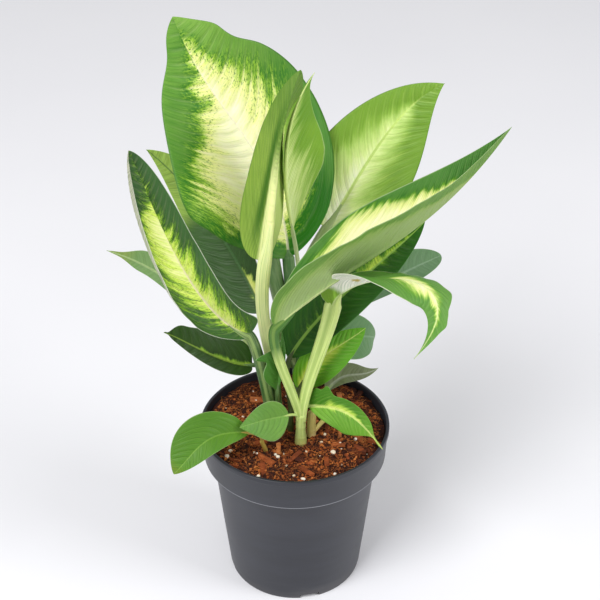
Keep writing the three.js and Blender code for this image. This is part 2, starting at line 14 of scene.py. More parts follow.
import bmesh
import bpy
import numpy as np
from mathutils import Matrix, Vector


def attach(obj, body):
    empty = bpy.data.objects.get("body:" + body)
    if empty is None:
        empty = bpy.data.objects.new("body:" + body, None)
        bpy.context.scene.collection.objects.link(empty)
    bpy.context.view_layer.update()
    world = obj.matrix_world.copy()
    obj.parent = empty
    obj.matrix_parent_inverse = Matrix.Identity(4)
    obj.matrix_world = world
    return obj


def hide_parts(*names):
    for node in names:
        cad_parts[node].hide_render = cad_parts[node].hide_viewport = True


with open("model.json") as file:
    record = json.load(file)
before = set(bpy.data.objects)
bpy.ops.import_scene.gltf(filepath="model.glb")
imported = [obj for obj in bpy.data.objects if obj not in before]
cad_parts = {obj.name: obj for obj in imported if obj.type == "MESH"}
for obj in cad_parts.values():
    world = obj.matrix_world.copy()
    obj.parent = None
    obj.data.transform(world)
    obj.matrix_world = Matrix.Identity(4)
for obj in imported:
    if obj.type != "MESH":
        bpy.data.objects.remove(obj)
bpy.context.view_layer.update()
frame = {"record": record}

log = logging.getLogger("potted_dumb_cane")

MM = 0.001
TO_MM = 1000
BODY = "root"
FACING = np.array([0.0, -0.841, 0.541])
UV_METRIC = "metric"
UV_SHARE = "share"
UNDER = "under"
TINT = "tint"
LESS_BLUE = (1.0, 0.98, 0.7, 1.0)
BLEMISH = "b4a030"
FULL_TURN = 2 * math.pi

Triple = tuple[float, float, float]
Stops = tuple[tuple[float, float], ...]


# Shader and geometry trees.


def paint(code: str) -> tuple[float, float, float, float]:
    """Linear colour of a six-digit screen colour.

    Args:
        code: Red, green and blue as two hexadecimal digits each.

    Returns:
        Linear red, green, blue and an alpha of 1.
    """
    parts = [int(code[k : k + 2], 16) / 255 for k in (0, 2, 4)]
    linear = [part / 12.92 if part <= 0.04045 else ((part + 0.055) / 1.055) ** 2.4 for part in parts]
    return (linear[0], linear[1], linear[2], 1.0)


def maths(operation: str, reflected: bool = False) -> Callable[..., "Signal"]:
    """The method of a signal that adds one Math node.

    Args:
        operation: The node's operation.
        reflected: Whether the other value comes first, as in 1 - mask.

    Returns:
        The method.
    """

    def method(signal: "Signal", *others: Any) -> "Signal":
        """Adds the node."""
        values = (*others, signal) if reflected else (signal, *others)
        return signal.bench.node("ShaderNodeMath", dict(enumerate(values)), operation=operation)

    return method


class Signal:
    """A node's output that takes Python arithmetic: each operator adds the Math node that it stands for."""

    __add__ = maths("ADD")
    __radd__ = maths("ADD", reflected=True)
    __sub__ = maths("SUBTRACT")
    __rsub__ = maths("SUBTRACT", reflected=True)
    __mul__ = maths("MULTIPLY")
    __rmul__ = maths("MULTIPLY", reflected=True)
    __truediv__ = maths("DIVIDE")
    __rtruediv__ = maths("DIVIDE", reflected=True)
    __pow__ = maths("POWER")
    __mod__ = maths("FLOORED_MODULO")
    __gt__ = maths("GREATER_THAN")
    __abs__ = maths("ABSOLUTE")
    floor = maths("FLOOR")
    fraction = maths("FRACT")
    sine = maths("SINE")
    cosine = maths("COSINE")
    least = maths("MINIMUM")
    most = maths("MAXIMUM")

    def __init__(self, bench: "Bench", socket: bpy.types.NodeSocket) -> None:
        """Wraps one output socket of a tree."""
        self.bench = bench
        self.socket = socket

    def step(self, low: float, high: float) -> "Signal":
        """Smooth step from 0 at low to 1 at high, or downwards where low is above high."""
        ends = {"Value": self, "From Min": low, "From Max": high}
        return self.bench.node("ShaderNodeMapRange", ends, interpolation_type="SMOOTHSTEP")

    def outlet(self, name: str) -> "Signal":
        """Another output of the same node."""
        return Signal(self.bench, self.bench.pick(self.socket.node.outputs, name))


class Bench:
    """Builds one node tree."""

    def __init__(self, tree: bpy.types.NodeTree) -> None:
        """Starts on an empty tree."""
        self.tree = tree
        tree.nodes.clear()

    @staticmethod
    def pick(sockets: Any, name: str | int | None) -> bpy.types.NodeSocket:
        """One of a node's sockets.

        Args:
            sockets: The node's inputs or outputs.
            name: The socket's number or name, or None for the first one in use.

        Returns:
            The socket. A name finds the first one of that name in use.
        """
        if isinstance(name, int):
            return sockets[name]
        return next(socket for socket in sockets if socket.enabled and name in (None, socket.name))

    def node(
        self,
        kind: str,
        sockets: dict[str | int, Any] | None = None,
        output: str | None = None,
        **settings: Any,
    ) -> Signal:
        """Adds a node.

        Args:
            kind: The node's type.
            sockets: Values or links of its inputs, by name or number.
            output: The output to return, or None for the first one in use.
            **settings: Its settings, such as an operation, or a ramp's stops as position to colour.

        Returns:
            That output.
        """
        made = self.tree.nodes.new(kind)
        for name, value in settings.items():
            if name == "stops":
                self.set_stops(made.color_ramp, value)
            else:
                setattr(made, name, value)
        for name, value in (sockets or {}).items():
            self.feed(self.pick(made.inputs, name), value)
        if not len(made.outputs):
            return Signal(self, made.inputs[0])
        return Signal(self, self.pick(made.outputs, output))

    def feed(self, socket: bpy.types.NodeSocket, value: Any) -> None:
        """Links or sets an input.

        Args:
            socket: The input.
            value: A signal to link, a list of them for a multi-input, or a plain value.
        """
        if isinstance(value, Signal):
            self.tree.links.new(value.socket, socket)
        elif isinstance(value, list):
            for each in value:
                self.tree.links.new(each.socket, socket)
        else:
            socket.default_value = value

    def curve(self, along: Signal, stops: Stops) -> Signal:
        """A value between -1 and 2 that eases from stop to stop of along."""
        greys = {place: (*[(value + 1) / 3] * 3, 1.0) for place, value in stops}
        return self.node("ShaderNodeValToRGB", {"Fac": along}, stops=greys) * 3 - 1

    @staticmethod
    def set_stops(ramp: bpy.types.ColorRamp, stops: dict[float, Sequence[float]]) -> None:
        """Sets a colour ramp's stops.

        Args:
            ramp: The ramp.
            stops: Each stop's position and colour.
        """
        ramp.interpolation = "EASE"
        while len(ramp.elements) < len(stops):
            ramp.elements.new(0.5)
        for element, (position, colour) in zip(ramp.elements, stops.items()):
            element.position = position
            element.color = colour

    def parts(self, vector: Signal) -> tuple[Signal, Signal, Signal]:
        """The three parts of a vector."""
        x = self.node("ShaderNodeSeparateXYZ", {"Vector": vector})
        return x, x.outlet("Y"), x.outlet("Z")

    def joined(self, x: Any, y: Any, z: Any = 0.0) -> Signal:
        """A vector from three values."""
        return self.node("ShaderNodeCombineXYZ", {"X": x, "Y": y, "Z": z})

    def vector(self, operation: str, sockets: dict[str | int, Any]) -> Signal:
        """The Vector Math node of that operation."""
        return self.node("ShaderNodeVectorMath", sockets, operation=operation)

    def uv(self, name: str) -> tuple[Signal, Signal]:
        """The two parts of a UV map of the piece."""
        return self.parts(self.node("ShaderNodeUVMap", uv_map=name))[:2]

    def attribute(self, name: str) -> Signal:
        """A single-valued attribute of the piece."""
        return self.node("ShaderNodeAttribute", None, "Fac", attribute_name=name)

    def place(self) -> Signal:
        """Object coordinates."""
        return self.node("ShaderNodeTexCoord", None, "Object")

    def noise(self, vector: Signal, scale: float = 1.0, detail: float = 2.0, rough: float = 0.5) -> Signal:
        """Noise between 0 and 1 about a half."""
        values = {"Vector": vector, "Scale": scale, "Detail": detail, "Roughness": rough}
        return self.node("ShaderNodeTexNoise", values)

    def mix(self, factor: Any, first: Any, second: Any, kind: str = "MIX") -> Signal:
        """Mix of two colours.

        Args:
            factor: The second colour's share.
            first: A signal, a linear colour or a six-digit screen colour.
            second: The second colour, given in the same way.
            kind: How they are mixed.

        Returns:
            The mixed colour.
        """
        first, second = (paint(colour) if isinstance(colour, str) else colour for colour in (first, second))
        values = {"Factor": factor, "A": first, "B": second}
        return self.node("ShaderNodeMix", values, data_type="RGBA", blend_type=kind, clamp_factor=True)

    def layered(self, colour: Any, *layers: tuple[Any, Any]) -> Signal:
        """A colour with others laid over it in turn.

        Args:
            colour: The lowest colour.
            *layers: Each layer's share and colour.

        Returns:
            The colour seen.
        """
        for share, layer in layers:
            colour = self.mix(share, colour, layer)
        return colour

    def bump(self, height: Signal, distance: float, strength: float = 1.0) -> Signal:
        """Normal from a height in shares of a distance in metres."""
        return self.node("ShaderNodeBump", {"Height": height, "Distance": distance, "Strength": strength})

    def finish(self, sockets: dict[str, Any]) -> None:
        """Ends a material with one Principled shader."""
        shader = self.node("ShaderNodeBsdfPrincipled", sockets)
        self.node("ShaderNodeOutputMaterial", {"Surface": shader})

    def close(self, geometry: Signal, material: Signal) -> bpy.types.NodeTree:
        """Ends a Geometry Nodes tree in Realize Instances and Set Material.

        Args:
            geometry: What the tree has made.
            material: The material input.

        Returns:
            The tree.
        """
        made = self.node("GeometryNodeRealizeInstances", {"Geometry": geometry})
        made = self.node("GeometryNodeSetMaterial", {"Geometry": made, "Material": material})
        self.node("NodeGroupOutput", {"Geometry": made})
        return self.tree


def new_material(name: str) -> tuple[bpy.types.Material, Bench]:
    """A new node material.

    Args:
        name: Its name.

    Returns:
        The material and the bench for its tree.
    """
    material = bpy.data.materials.new(name)
    material.use_nodes = True
    return material, Bench(material.node_tree)


# Meshes.


def placed(name: str, data: bpy.types.ID) -> bpy.types.Object:
    """A new object at the origin, linked to the scene.

    Args:
        name: Its name.
        data: Its mesh, light or camera.

    Returns:
        The object.
    """
    made = bpy.data.objects.new(name, data)
    bpy.context.scene.collection.objects.link(made)
    return made


def discard(piece: bpy.types.Object) -> None:
    """Removes an object and its mesh.

    Args:
        piece: The object.
    """
    mesh = piece.data
    bpy.data.objects.remove(piece)
    bpy.data.meshes.remove(mesh)


def mesh_object(
    name: str,
    points: np.ndarray,
    faces: Sequence[Sequence[int]],
    uvs: dict[str, np.ndarray] | None = None,
    values: dict[str, np.ndarray] | None = None,
) -> bpy.types.Object:
    """A smooth-shaded mesh object at the origin.

    Args:
        name: The piece's name.
        points: Points in metres, one row each.
        faces: Corner numbers of each face, turned so that it looks outwards.
        uvs: UV maps by name, one row for each point.
        values: Single-valued attributes by name, one for each point.

    Returns:
        The object, linked to the scene.
    """
    mesh = bpy.data.meshes.new(name)
    mesh.from_pydata(points.tolist(), [], [list(map(int, face)) for face in faces])
    corners = np.empty(len(mesh.loops), dtype=np.int32)
    mesh.loops.foreach_get("vertex_index", corners)
    for key, rows in (uvs or {}).items():
        mesh.uv_layers.new(name=key).data.foreach_set("uv", rows[corners].astype(np.float32).ravel())
    for key, column in (values or {}).items():
        layer = mesh.attributes.new(key, "FLOAT", "POINT")
        layer.data.foreach_set("value", column.astype(np.float32).ravel())
    mesh.shade_smooth()
    mesh.update()
    return placed(name, mesh)


def ring_faces(rings: int, sides: int, floored: bool = True) -> list[tuple[int, ...]]:
    """Faces between rings of points, closed by fans to middle points that follow the rings.

    Args:
        rings: Number of rings.
        sides: Points in each ring.
        floored: Whether the first ring is closed too. Its middle point then comes before the last ring's.

    Returns:
        The faces.
    """
    at = np.arange(rings * sides).reshape(rings, sides)
    after = np.roll(at, -1, axis=1)
    quads = np.stack([at[:-1], after[:-1], after[1:], at[1:]], axis=-1).reshape(-1, 4)
    hub = np.full(sides, rings * sides)
    fans = [np.stack([hub, after[0], at[0]], axis=-1)] if floored else []
    fans.append(np.stack([hub + len(fans), at[-1], after[-1]], axis=-1))
    return [*map(tuple, quads), *map(tuple, np.vstack(fans))]


def own(piece: bpy.types.Object, slot: str, *nodes: str) -> None:
    """Rides a finished piece on the plant's one body and hides the nodes that it stands for.

    Args:
        piece: The piece.
        slot: Its material slot in the record. Not used.
        *nodes: The CAD nodes that it stands for, if any.
    """
    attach(piece, BODY)
    if nodes:
        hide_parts(*nodes)
    triangles = sum(len(face.vertices) - 2 for face in piece.data.polygons)
    log.info("%s: %d triangles", piece.name, triangles)


def applied(piece: bpy.types.Object, modifier: bpy.types.Modifier) -> bpy.types.Mesh:
    """The mesh that a piece has with a modifier, which is then removed.

    Args:
        piece: The piece.
        modifier: Its one modifier.

    Returns:
        The evaluated mesh.
    """
    graph = bpy.context.evaluated_depsgraph_get()
    graph.update()
    mesh = bpy.data.meshes.new_from_object(piece.evaluated_get(graph), depsgraph=graph)
    piece.modifiers.remove(modifier)
    return mesh


def baked(
    piece: bpy.types.Object, name: str, tree: bpy.types.NodeTree, material: bpy.types.Material
) -> bpy.types.Object:
    """A plain mesh object of what a Geometry Nodes tree makes from a piece.

    Args:
        piece: The object that the tree starts from. It is removed.
        name: Name of the result.
        tree: The tree.
        material: Its material.

    Returns:
        The result at the origin, with no modifier.
    """
    modifier = piece.modifiers.new("tree", "NODES")
    modifier.node_group = tree
    for socket in tree.interface.items_tree:
        if socket.name == "Material":
            modifier[socket.identifier] = material
    mesh = applied(piece, modifier)
    mesh.name = name
    discard(piece)
    return placed(name, mesh)


def new_geometry_tree(name: str, inputs: dict[str, float]) -> tuple[Bench, dict[str, Signal]]:
    """An empty Geometry Nodes tree with named inputs.

    Args:
        name: The tree's name.
        inputs: Each input's name and default, a number or a whole number.

    Returns:
        The tree's bench and the outlets of its Group Input by name: Geometry, the inputs and Material.
    """
    tree = bpy.data.node_groups.new(name, "GeometryNodeTree")
    tree.interface.new_socket("Geometry", in_out="OUTPUT", socket_type="NodeSocketGeometry")
    tree.interface.new_socket("Geometry", in_out="INPUT", socket_type="NodeSocketGeometry")
    for key, value in inputs.items():
        kind = "NodeSocketInt" if isinstance(value, int) else "NodeSocketFloat"
        tree.interface.new_socket(key, in_out="INPUT", socket_type=kind).default_value = value
    tree.interface.new_socket("Material", in_out="INPUT", socket_type="NodeSocketMaterial")
    bench = Bench(tree)
    group = bench.node("NodeGroupInput")
    return bench, {key: group.outlet(key) for key in ("Geometry", *inputs, "Material")}


def value_noise(x: np.ndarray, y: np.ndarray, size: float, seed: int) -> np.ndarray:
    """Smooth repeatable noise between -1 and 1.

    Args:
        x: First coordinate of each point.
        y: Second coordinate.
        size: Size of the noise's lumps, in the coordinates' unit.
        seed: Seed of its table.

    Returns:
        One value for each point.
    """
    cells = 64
    table = np.random.default_rng(seed).uniform(-1, 1, (cells, cells))
    gx, gy = x / size, y / size
    ix, iy = np.floor(gx).astype(int), np.floor(gy).astype(int)
    fx, fy = gx - ix, gy - iy
    fx, fy = fx * fx * (3 - 2 * fx), fy * fy * (3 - 2 * fy)

    def row(dy: int) -> np.ndarray:
        """The values between two corners of each point's cell."""
        left, right = (table[(ix + dx) % cells, (iy + dy) % cells] for dx in (0, 1))
        return left * (1 - fx) + right * fx

    return row(0) * (1 - fy) + row(1) * fy


# Curves shared by blades and stalks.


def cubic_at(points: Sequence[Triple], t: np.ndarray) -> np.ndarray:
    """The cubic through four points at t = 0, 1/3, 2/3 and 1.

    Args:
        points: The four points.
        t: Where to take it, an array of any length.

    Returns:
        One point for each t.
    """
    t = np.asarray(t, dtype=float)[:, None]
    weights = (
        -4.5 * (t - 1 / 3) * (t - 2 / 3) * (t - 1),
        13.5 * t * (t - 2 / 3) * (t - 1),
        -13.5 * t * (t - 1 / 3) * (t - 1),
        4.5 * t * (t - 1 / 3) * (t - 2 / 3),
    )
    return sum(weight * np.array(point, dtype=float) for weight, point in zip(weights, points))


def unit(rows: np.ndarray) -> np.ndarray:
    """Rows scaled to length 1."""
    return rows / np.maximum(np.linalg.norm(rows, axis=-1, keepdims=True), 1e-12)


def direction_at(points: Sequence[Triple], t: np.ndarray) -> np.ndarray:
    """Unit direction of that cubic.

    Args:
        points: Its four points.
        t: Where to take it.

    Returns:
        One row for each t.
    """
    step = 1e-3
    t = np.asarray(t, dtype=float)
    return unit(cubic_at(points, t + step) - cubic_at(points, t - step))


def three_at(values: Triple, t: np.ndarray) -> np.ndarray:
    """The curve through three values at 0, 1/2 and 1."""
    start, middle, end = values
    return start * (1 - t) * (1 - 2 * t) + middle * 4 * t * (1 - t) + end * t * (2 * t - 1)


def fronts(along: np.ndarray) -> np.ndarray:
    """For each direction, the unit vector square to it that looks most to the front and up."""
    return unit(FACING - (along @ FACING)[:, None] * along)


# Blades.

VEIN_SHIFT = 0.45
POINTED = 0.06
LEAST_WIDTH = (0.8, 0.2)
PROFILE_STEPS = 24
MIDRIB_CROWDING = 1.35
END_CROWDING = 0.6
RIDGE_LEAST = 0.35


@dataclass(frozen=True)
class Side:
    """One half of a blade: its greatest half-width, outline, lift out of the blade's plane and curl.

    bumps widen the outline in places: each is a share along, a spread and the share of the width that it
    adds. hem rolls the margin up: the share across where it starts, and its angles at stalk, middle and tip.
    """

    half: float
    root: float
    taper: float
    rise: Triple
    curl: float
    bumps: tuple[Triple, ...] = ()
    hem: tuple[float, Triple] = (0.7, (0, 0, 0))

    def width_at(self, s: np.ndarray) -> np.ndarray:
        """Half-width of this half's outline.

        Args:
            s: Shares of the midrib, from 0 at the stalk to 1 at the tip.

        Returns:
            The half-width in mm at each share.
        """
        both = self.root + self.taper
        peak = (self.root / both) ** self.root * (self.taper / both) ** self.taper
        inner = np.clip(s, 0, 1)
        rounded = inner**self.root * (1 - inner) ** self.taper / peak
        for place, spread, share in self.bumps:
            rounded = rounded * (1 + share * np.exp(-(((inner - place) / spread) ** 2)))
        pointed = (1 - inner) * np.minimum(1, 8 * inner)
        least = LEAST_WIDTH[0] + (LEAST_WIDTH[1] - LEAST_WIDTH[0]) * inner**3
        return np.maximum(least, self.half * ((1 - POINTED) * rounded + POINTED * pointed))

    def profile(self, s: np.ndarray, share: np.ndarray) -> tuple[np.ndarray, np.ndarray]:
        """How far out and up this half's points lie in mm.

        Args:
            s: Shares along.
            share: Shares across, from 0 at the midrib to 1 at the margin.

        Returns:
            Distances out and up, a row for each s and a column for each share.
        """
        inner = share[None, :, None] * (np.arange(PROFILE_STEPS) + 0.5) / PROFILE_STEPS
        start, roll = self.hem
        rolled = np.clip((inner - start) / (1 - start), 0, 1)
        hem = np.radians(three_at(roll, s))[:, None, None] * rolled**2 * (3 - 2 * rolled)
        angle = np.radians(three_at(self.rise, s))[:, None, None] + math.radians(self.curl) * inner + hem
        run = self.width_at(s)[:, None] * share
        return run * np.cos(angle).mean(axis=-1), run * np.sin(angle).mean(axis=-1)


@dataclass(frozen=True)
class LeafFinish:
    """Colours and pattern of one leaf.

    margin and deep are the outer greens, lime the feathered zone, centre and heart the pale zone, rib the
    midrib, under the underside and edge the rim. reach is the pale zone's share of the half-width from stop
    to stop along, once for both halves or left and right, and deeper the share of deep at the stalk and tip
    in the same way. tip is the outer green from tip_from onwards, and foot a crumpled base's up to foot_to.
    painted_rib_shadow is a painted shadow line beside the raised midrib: its place across in mm (left below
    nought), its width and strength. spot is a brown blemish: its place across and along and its radius in mm.
    The midrib fades out from the first to the second rib_end.
    """

    margin: str
    deep: str
    lime: str
    centre: str
    heart: str
    rib: str
    under: str
    edge: str
    seed: float
    reach: tuple[Stops, ...] = (((0, -0.4), (1, -0.4)),)
    deeper: tuple[float, ...] = (0.5, 0.5)
    tip: str | None = None
    tip_from: tuple[float, float] = (0.6, 0.8)
    ragged: float = 0.3
    feather: float = 1.0
    soft: float = 1.0
    speckle: float = 0.5
    vein: float = 0.2
    vein_green: float = 0.08
    vein_gap: float = 6.5
    vein_width: float = 1.6
    vein_slope: float = 0.2
    vein_bow: float = 1.1
    threads: float = 0.12
    thread_width: float = 0.16
    fringe_deep: float = 0.5
    rib_width: float = 1.3
    rib_share: float = 0.85
    rib_end: tuple[float, float] = (1.2, 1.4)
    under_share: float = 0.7
    painted_rib_shadow: Triple = (0.0, 1.0, 0.0)
    foot: str | None = None
    foot_to: float = 0.14
    spot: Triple = (0.0, 0.0, 0.0)
    edge_share: float = 0.6
    roughness: float = 0.45
    cell_scale: float = 900.0
    relief: float = 0.0005

    def material(self, name: str, half_width: float) -> bpy.types.Material:
        """The leaf's material.

        Args:
            name: Its name.
            half_width: The blade's greatest half-width in mm.

        Returns:
            The material, which reads the blade's two UV maps and its underside attribute.
        """
        material, bench = new_material(name)
        x, y = bench.uv(UV_METRIC)
        u, s = bench.uv(UV_SHARE)
        x_mm, along = x * TO_MM, y * TO_MM
        across, share, side = abs(x_mm), abs(u), u > 0.0
        left_reach, right_reach = (bench.curve(s, self.reach[half]) for half in (0, -1))
        reach = left_reach + (right_reach - left_reach) * side

        def pattern(number: Signal, stretch: float, detail: float, rough: float) -> Signal:
            """Noise drawn out along the side veins, about nought."""
            place = bench.joined(number, across * stretch, side * 5 + self.seed)
            return bench.noise(place, 1.0, detail, rough) - 0.5

        # Side veins leave the midrib and bow towards the tip.
        drift = bench.noise(bench.joined(x_mm, along, side * 9 + self.seed), 0.045, 1.0) - 0.5
        bow = across * (across * (self.vein_bow / half_width) + self.vein_slope)
        vein = (along - bow) / self.vein_gap + side * VEIN_SHIFT + drift * 0.7
        off_vein = abs((vein + 0.5).fraction() - 0.5) * self.vein_gap
        line = off_vein.step(self.vein_width, 0.0) * share.step(1.05, 0.5)
        fine = pattern(vein * 5.0, 0.08, 2.0, 0.5)
        streak = pattern(vein * 0.9, 0.05, 2.0, 0.6)
        fleck = pattern(vein * 6.0, 0.4, 3.0, 0.65)
        speck = pattern(vein * 9.0, 0.7, 2.0, 0.6)
        thread = abs((vein * 3.0 + fine * 0.8).fraction() - 0.5).step(self.thread_width, 0.0)

        # The pale zone's ragged border: below nought is pale, above is green.
        border = (share - reach) / self.ragged + (streak * 2.6 + fine * 0.9 + fleck * 0.9) * self.feather
        pale = border.step(0.35 * self.soft, -0.4 * self.soft)
        heart = border.step(-0.2, -1.6)
        fringe = border.step(1.5, 0.0)

        # Greens, deepest next to the pale zone.
        wash = bench.noise(bench.joined(x_mm, along, self.seed), 0.03) - 0.5
        left_deep, right_deep = (
            s * (last - first) + first for first, last in (self.deeper[:2], self.deeper[-2:])
        )
        deep_share = left_deep + (right_deep - left_deep) * side + wash * 1.2 + fine * 0.7
        outer = self.margin
        if self.tip:
            outer = bench.mix((s + wash * 0.1).step(*self.tip_from), outer, self.tip)
        green = bench.mix(deep_share + fringe * self.fringe_deep, outer, self.deep)
        green = bench.mix(1.0, green, LESS_BLUE, "MULTIPLY")
        dark_speck = speck.step(0.03, 0.12) * border.step(-1.0, 0.2) * border.step(1.3, 0.2)
        colour = bench.layered(
            green,
            (fleck.step(-0.03, 0.12) * fringe * self.speckle, self.lime),
            (border.step(0.6 * self.soft, -0.05) * 0.85, self.lime),
            (pale, self.centre),
            (heart, self.heart),
            (dark_speck * self.speckle, self.deep),
        )
        light = bench.mix(0.6, colour, self.rib)
        colour = bench.mix(line * (pale * (self.vein - self.vein_green) + self.vein_green), colour, light)
        shade = bench.mix(0.8, colour, self.deep)
        colour = bench.mix(thread * (1 - heart) * self.threads, colour, shade)

        # Underside, painted shadow beside the midrib, midrib and rim.
        under = bench.attribute(UNDER)
        dull = bench.mix(fine.step(-0.2, 0.2) * 0.45, self.under, shade)
        colour = bench.mix(under * self.under_share, colour, dull)
        if self.foot:
            crumple = bench.mix(streak.step(-0.1, 0.15), self.foot, self.lime)
            base = (s + fine * 0.05).step(self.foot_to + 0.03, self.foot_to - 0.02)
            colour = bench.mix(base, colour, crumple)
        # A painted shadow line just beside the midrib, where the raised rib would shade the blade.
        place, wide, strength = self.painted_rib_shadow
        painted_rib_shadow_mask = abs(x_mm - place * (1 - s)).step(wide, 0.0) * s.step(0.0, 0.2) * s.step(0.95, 0.6)
        half_rib = (1 - s) ** 0.7 * self.rib_width + 0.2
        rib = (across / half_rib).step(1.1, 0.6) * s.step(self.rib_end[1], self.rib_end[0])
        fibre = bench.noise(bench.joined(x * 1800, y * 25, self.seed))
        colour = bench.layered(
            colour,
            (painted_rib_shadow_mask * strength, self.deep),
            (rib * self.rib_share, bench.mix(fibre.step(0.48, 0.7) * 0.5, self.rib, green)),
            (share.step(0.97, 0.992) * self.edge_share, self.edge),
        )
        spot_x, spot_y, radius = self.spot
        if radius:
            far = ((x_mm - spot_x) ** 2 + (along - spot_y) ** 2) ** 0.5 + fleck * 2
            colour = bench.mix(far.step(radius, radius * 0.3) * 0.9, colour, BLEMISH)

        # Relief: sunk side veins, fine lengthwise veins and cell grain.
        grain = bench.noise(bench.place(), self.cell_scale)
        height = line * -0.5 + fine * 0.6 + thread * -0.3 + grain * 0.25
        bench.finish(
            {
                "Base Color": colour,
                "Roughness": self.roughness + (grain - 0.5) * 0.2 + under * 0.12,
                "Specular IOR Level": 0.3,
                "Subsurface Weight": 0.12,
                "Subsurface Radius": (0.6, 1.0, 0.3),
                "Subsurface Scale": 0.0015,
                "Normal": bench.bump(height, self.relief, 0.9),
            }
        )
        return material


class Size(Enum):
    """Rows along and columns across each half of a blade's fine mesh."""

    LARGE = (170, 30)
    MIDDLE = (120, 22)
    SMALL = (80, 16)


@dataclass(frozen=True)
class Leaf:
    """One blade: the midrib, its roll about the midrib, two halves, and its finish. Sizes in mm."""

    rib: tuple[Triple, Triple, Triple, Triple]
    roll: tuple[float, float]
    left: Side
    right: Side
    finish: LeafFinish
    keel: float = 1.0
    size: Size = Size.MIDDLE
    thickness: float = 0.55
    pleat: float = 0.22
    wave: float = 0.5
    wave_lengths: tuple[float, float] = (17.0, 7.0)
    stalk_radius: float = 1.4
    keel_fade: float = 0.9

    def half(self) -> float:
        """The greatest half-width in mm."""
        return max(self.left.half, self.right.half)

    def columns(self) -> np.ndarray:
        """Where the mesh's columns lie.

        Returns:
            Shares across, from -1 to 1, closest at the midrib.
        """
        count = self.size.value[1]
        half = np.linspace(0, 1, count + 1)[1:] ** MIDRIB_CROWDING
        return np.concatenate([-half[::-1], [0.0], half])

    def rows(self) -> np.ndarray:
        """Shares along, from 0 at the stalk to 1 at the tip, closest at both ends."""
        t = np.linspace(0, 1, self.size.value[0] + 1)
        return t - END_CROWDING * np.sin(FULL_TURN * t) / FULL_TURN

    def width_at(self, s: np.ndarray, u: np.ndarray) -> np.ndarray:
        """Signed distance from the midrib.

        Args:
            s: Shares along.
            u: Shares across, left below nought.

        Returns:
            Distances in mm, a row for each s and a column for each u.
        """
        left = self.left.width_at(s)[:, None] * u[None, :]
        right = self.right.width_at(s)[:, None] * u[None, :]
        return np.where(u[None, :] < 0, left, right)

    def axes_at(self, s: np.ndarray) -> tuple[np.ndarray, np.ndarray]:
        """The blade's own directions.

        Args:
            s: Shares along.

        Returns:
            The directions across the blade and up from its upper face, one row for each s.
        """
        along = direction_at(self.rib, s)
        front = fronts(along)
        roll = np.radians(self.roll[0] + (self.roll[1] - self.roll[0]) * s)[:, None]
        up = front * np.cos(roll) + np.cross(along, front) * np.sin(roll)
        return np.cross(along, up), up

    def sheet(self, s: np.ndarray, u: np.ndarray) -> np.ndarray:
        """The blade's middle surface in mm.

        Args:
            s: Shares along.
            u: Shares across, left below nought.

        Returns:
            Points as rows, columns and coordinates.
        """
        across, up = self.axes_at(s)
        points = np.repeat(cubic_at(self.rib, s)[:, None, :], len(u), axis=1)
        for half, mask in ((self.left, u < 0), (self.right, u >= 0)):
            out, lift = half.profile(s, np.abs(u[mask]))
            out = out * np.sign(u[mask])
            points[:, mask] += out[..., None] * across[:, None] + lift[..., None] * up[:, None]
        return points

    def veins(self, width: np.ndarray, along: np.ndarray) -> np.ndarray:
        """Number of the side vein at each point.

        Args:
            width: Signed distance from the midrib in mm.
            along: Distance along the midrib in mm, one for each row.

        Returns:
            The numbers, whole on a vein.
        """
        finish = self.finish
        out = np.abs(width)
        bow = out * (out * finish.vein_bow / self.half() + finish.vein_slope)
        number = (along[:, None] - bow) / finish.vein_gap
        return number + VEIN_SHIFT * (width > 0)

    def build(self, node: str) -> bpy.types.Object:
        """Makes the blade as a closed sheet with pleats, a sunk midrib above and a keel below.

        Args:
            node: The CAD node that it stands for.

        Returns:
            The piece.
        """
        s, u = self.rows(), self.columns()
        middle = self.sheet(s, u)
        width = self.width_at(s, u)
        steps = np.linalg.norm(np.diff(cubic_at(self.rib, s), axis=0), axis=1)
        along = np.concatenate([[0.0], np.cumsum(steps)])
        normal = unit(np.cross(np.gradient(middle, axis=1), np.gradient(middle, axis=0)))
        share = np.abs(u)[None, :]
        calm = np.minimum(1, 6 * s)[:, None] * np.minimum(1, 6 * (1 - s))[:, None]

        # Pleats between the side veins, and slow waves that grow to the margin.
        pleat = self.pleat * -np.cos(FULL_TURN * self.veins(width, along))
        pleat = pleat * np.minimum(1, np.abs(width) / 5) * (1 - share**3)
        run = along[:, None] + 0 * width
        side = np.sign(width)
        long, short = self.wave_lengths
        ripple = value_noise(run, side * 40.0, long, 5) + 0.5 * value_noise(run, side * 60.0, short, 6)
        relief = (pleat + self.wave * ripple * share**2) * calm
        middle = middle + relief[..., None] * normal

        # The sheet thins to its margin, and the keel is deepest at the stalk.
        ahead = 1 - s[:, None]
        thin = self.thickness / 2 * (1 - 0.55 * share**2) * (0.55 + 0.45 * calm)
        ridge_width = RIDGE_LEAST + (self.stalk_radius - RIDGE_LEAST) * ahead**1.2
        ridge = self.keel * np.exp(-((width / ridge_width) ** 2)) * ahead**self.keel_fade
        upper = middle + (thin - 0.3 * ridge * np.minimum(1, 3 * s)[:, None])[..., None] * normal
        lower = middle - (thin + ridge * np.minimum(1, 4 * s + 0.35)[:, None])[..., None] * normal

        metric = np.stack([width, run], axis=-1).reshape(-1, 2) * MM
        shares = np.stack(np.broadcast_arrays(u[None, :], s[:, None]), axis=-1).reshape(-1, 2)
        piece = mesh_object(
            node.replace("leaf_", "blade_"),
            np.concatenate([upper.reshape(-1, 3), lower.reshape(-1, 3)]) * MM,
            self.faces(len(s), len(u)),
            {UV_METRIC: np.tile(metric, (2, 1)), UV_SHARE: np.tile(shares, (2, 1))},
            {UNDER: np.repeat([0, 1], len(metric))},
        )
        piece.data.materials.append(self.finish.material(node + "_finish", self.half()))
        return piece

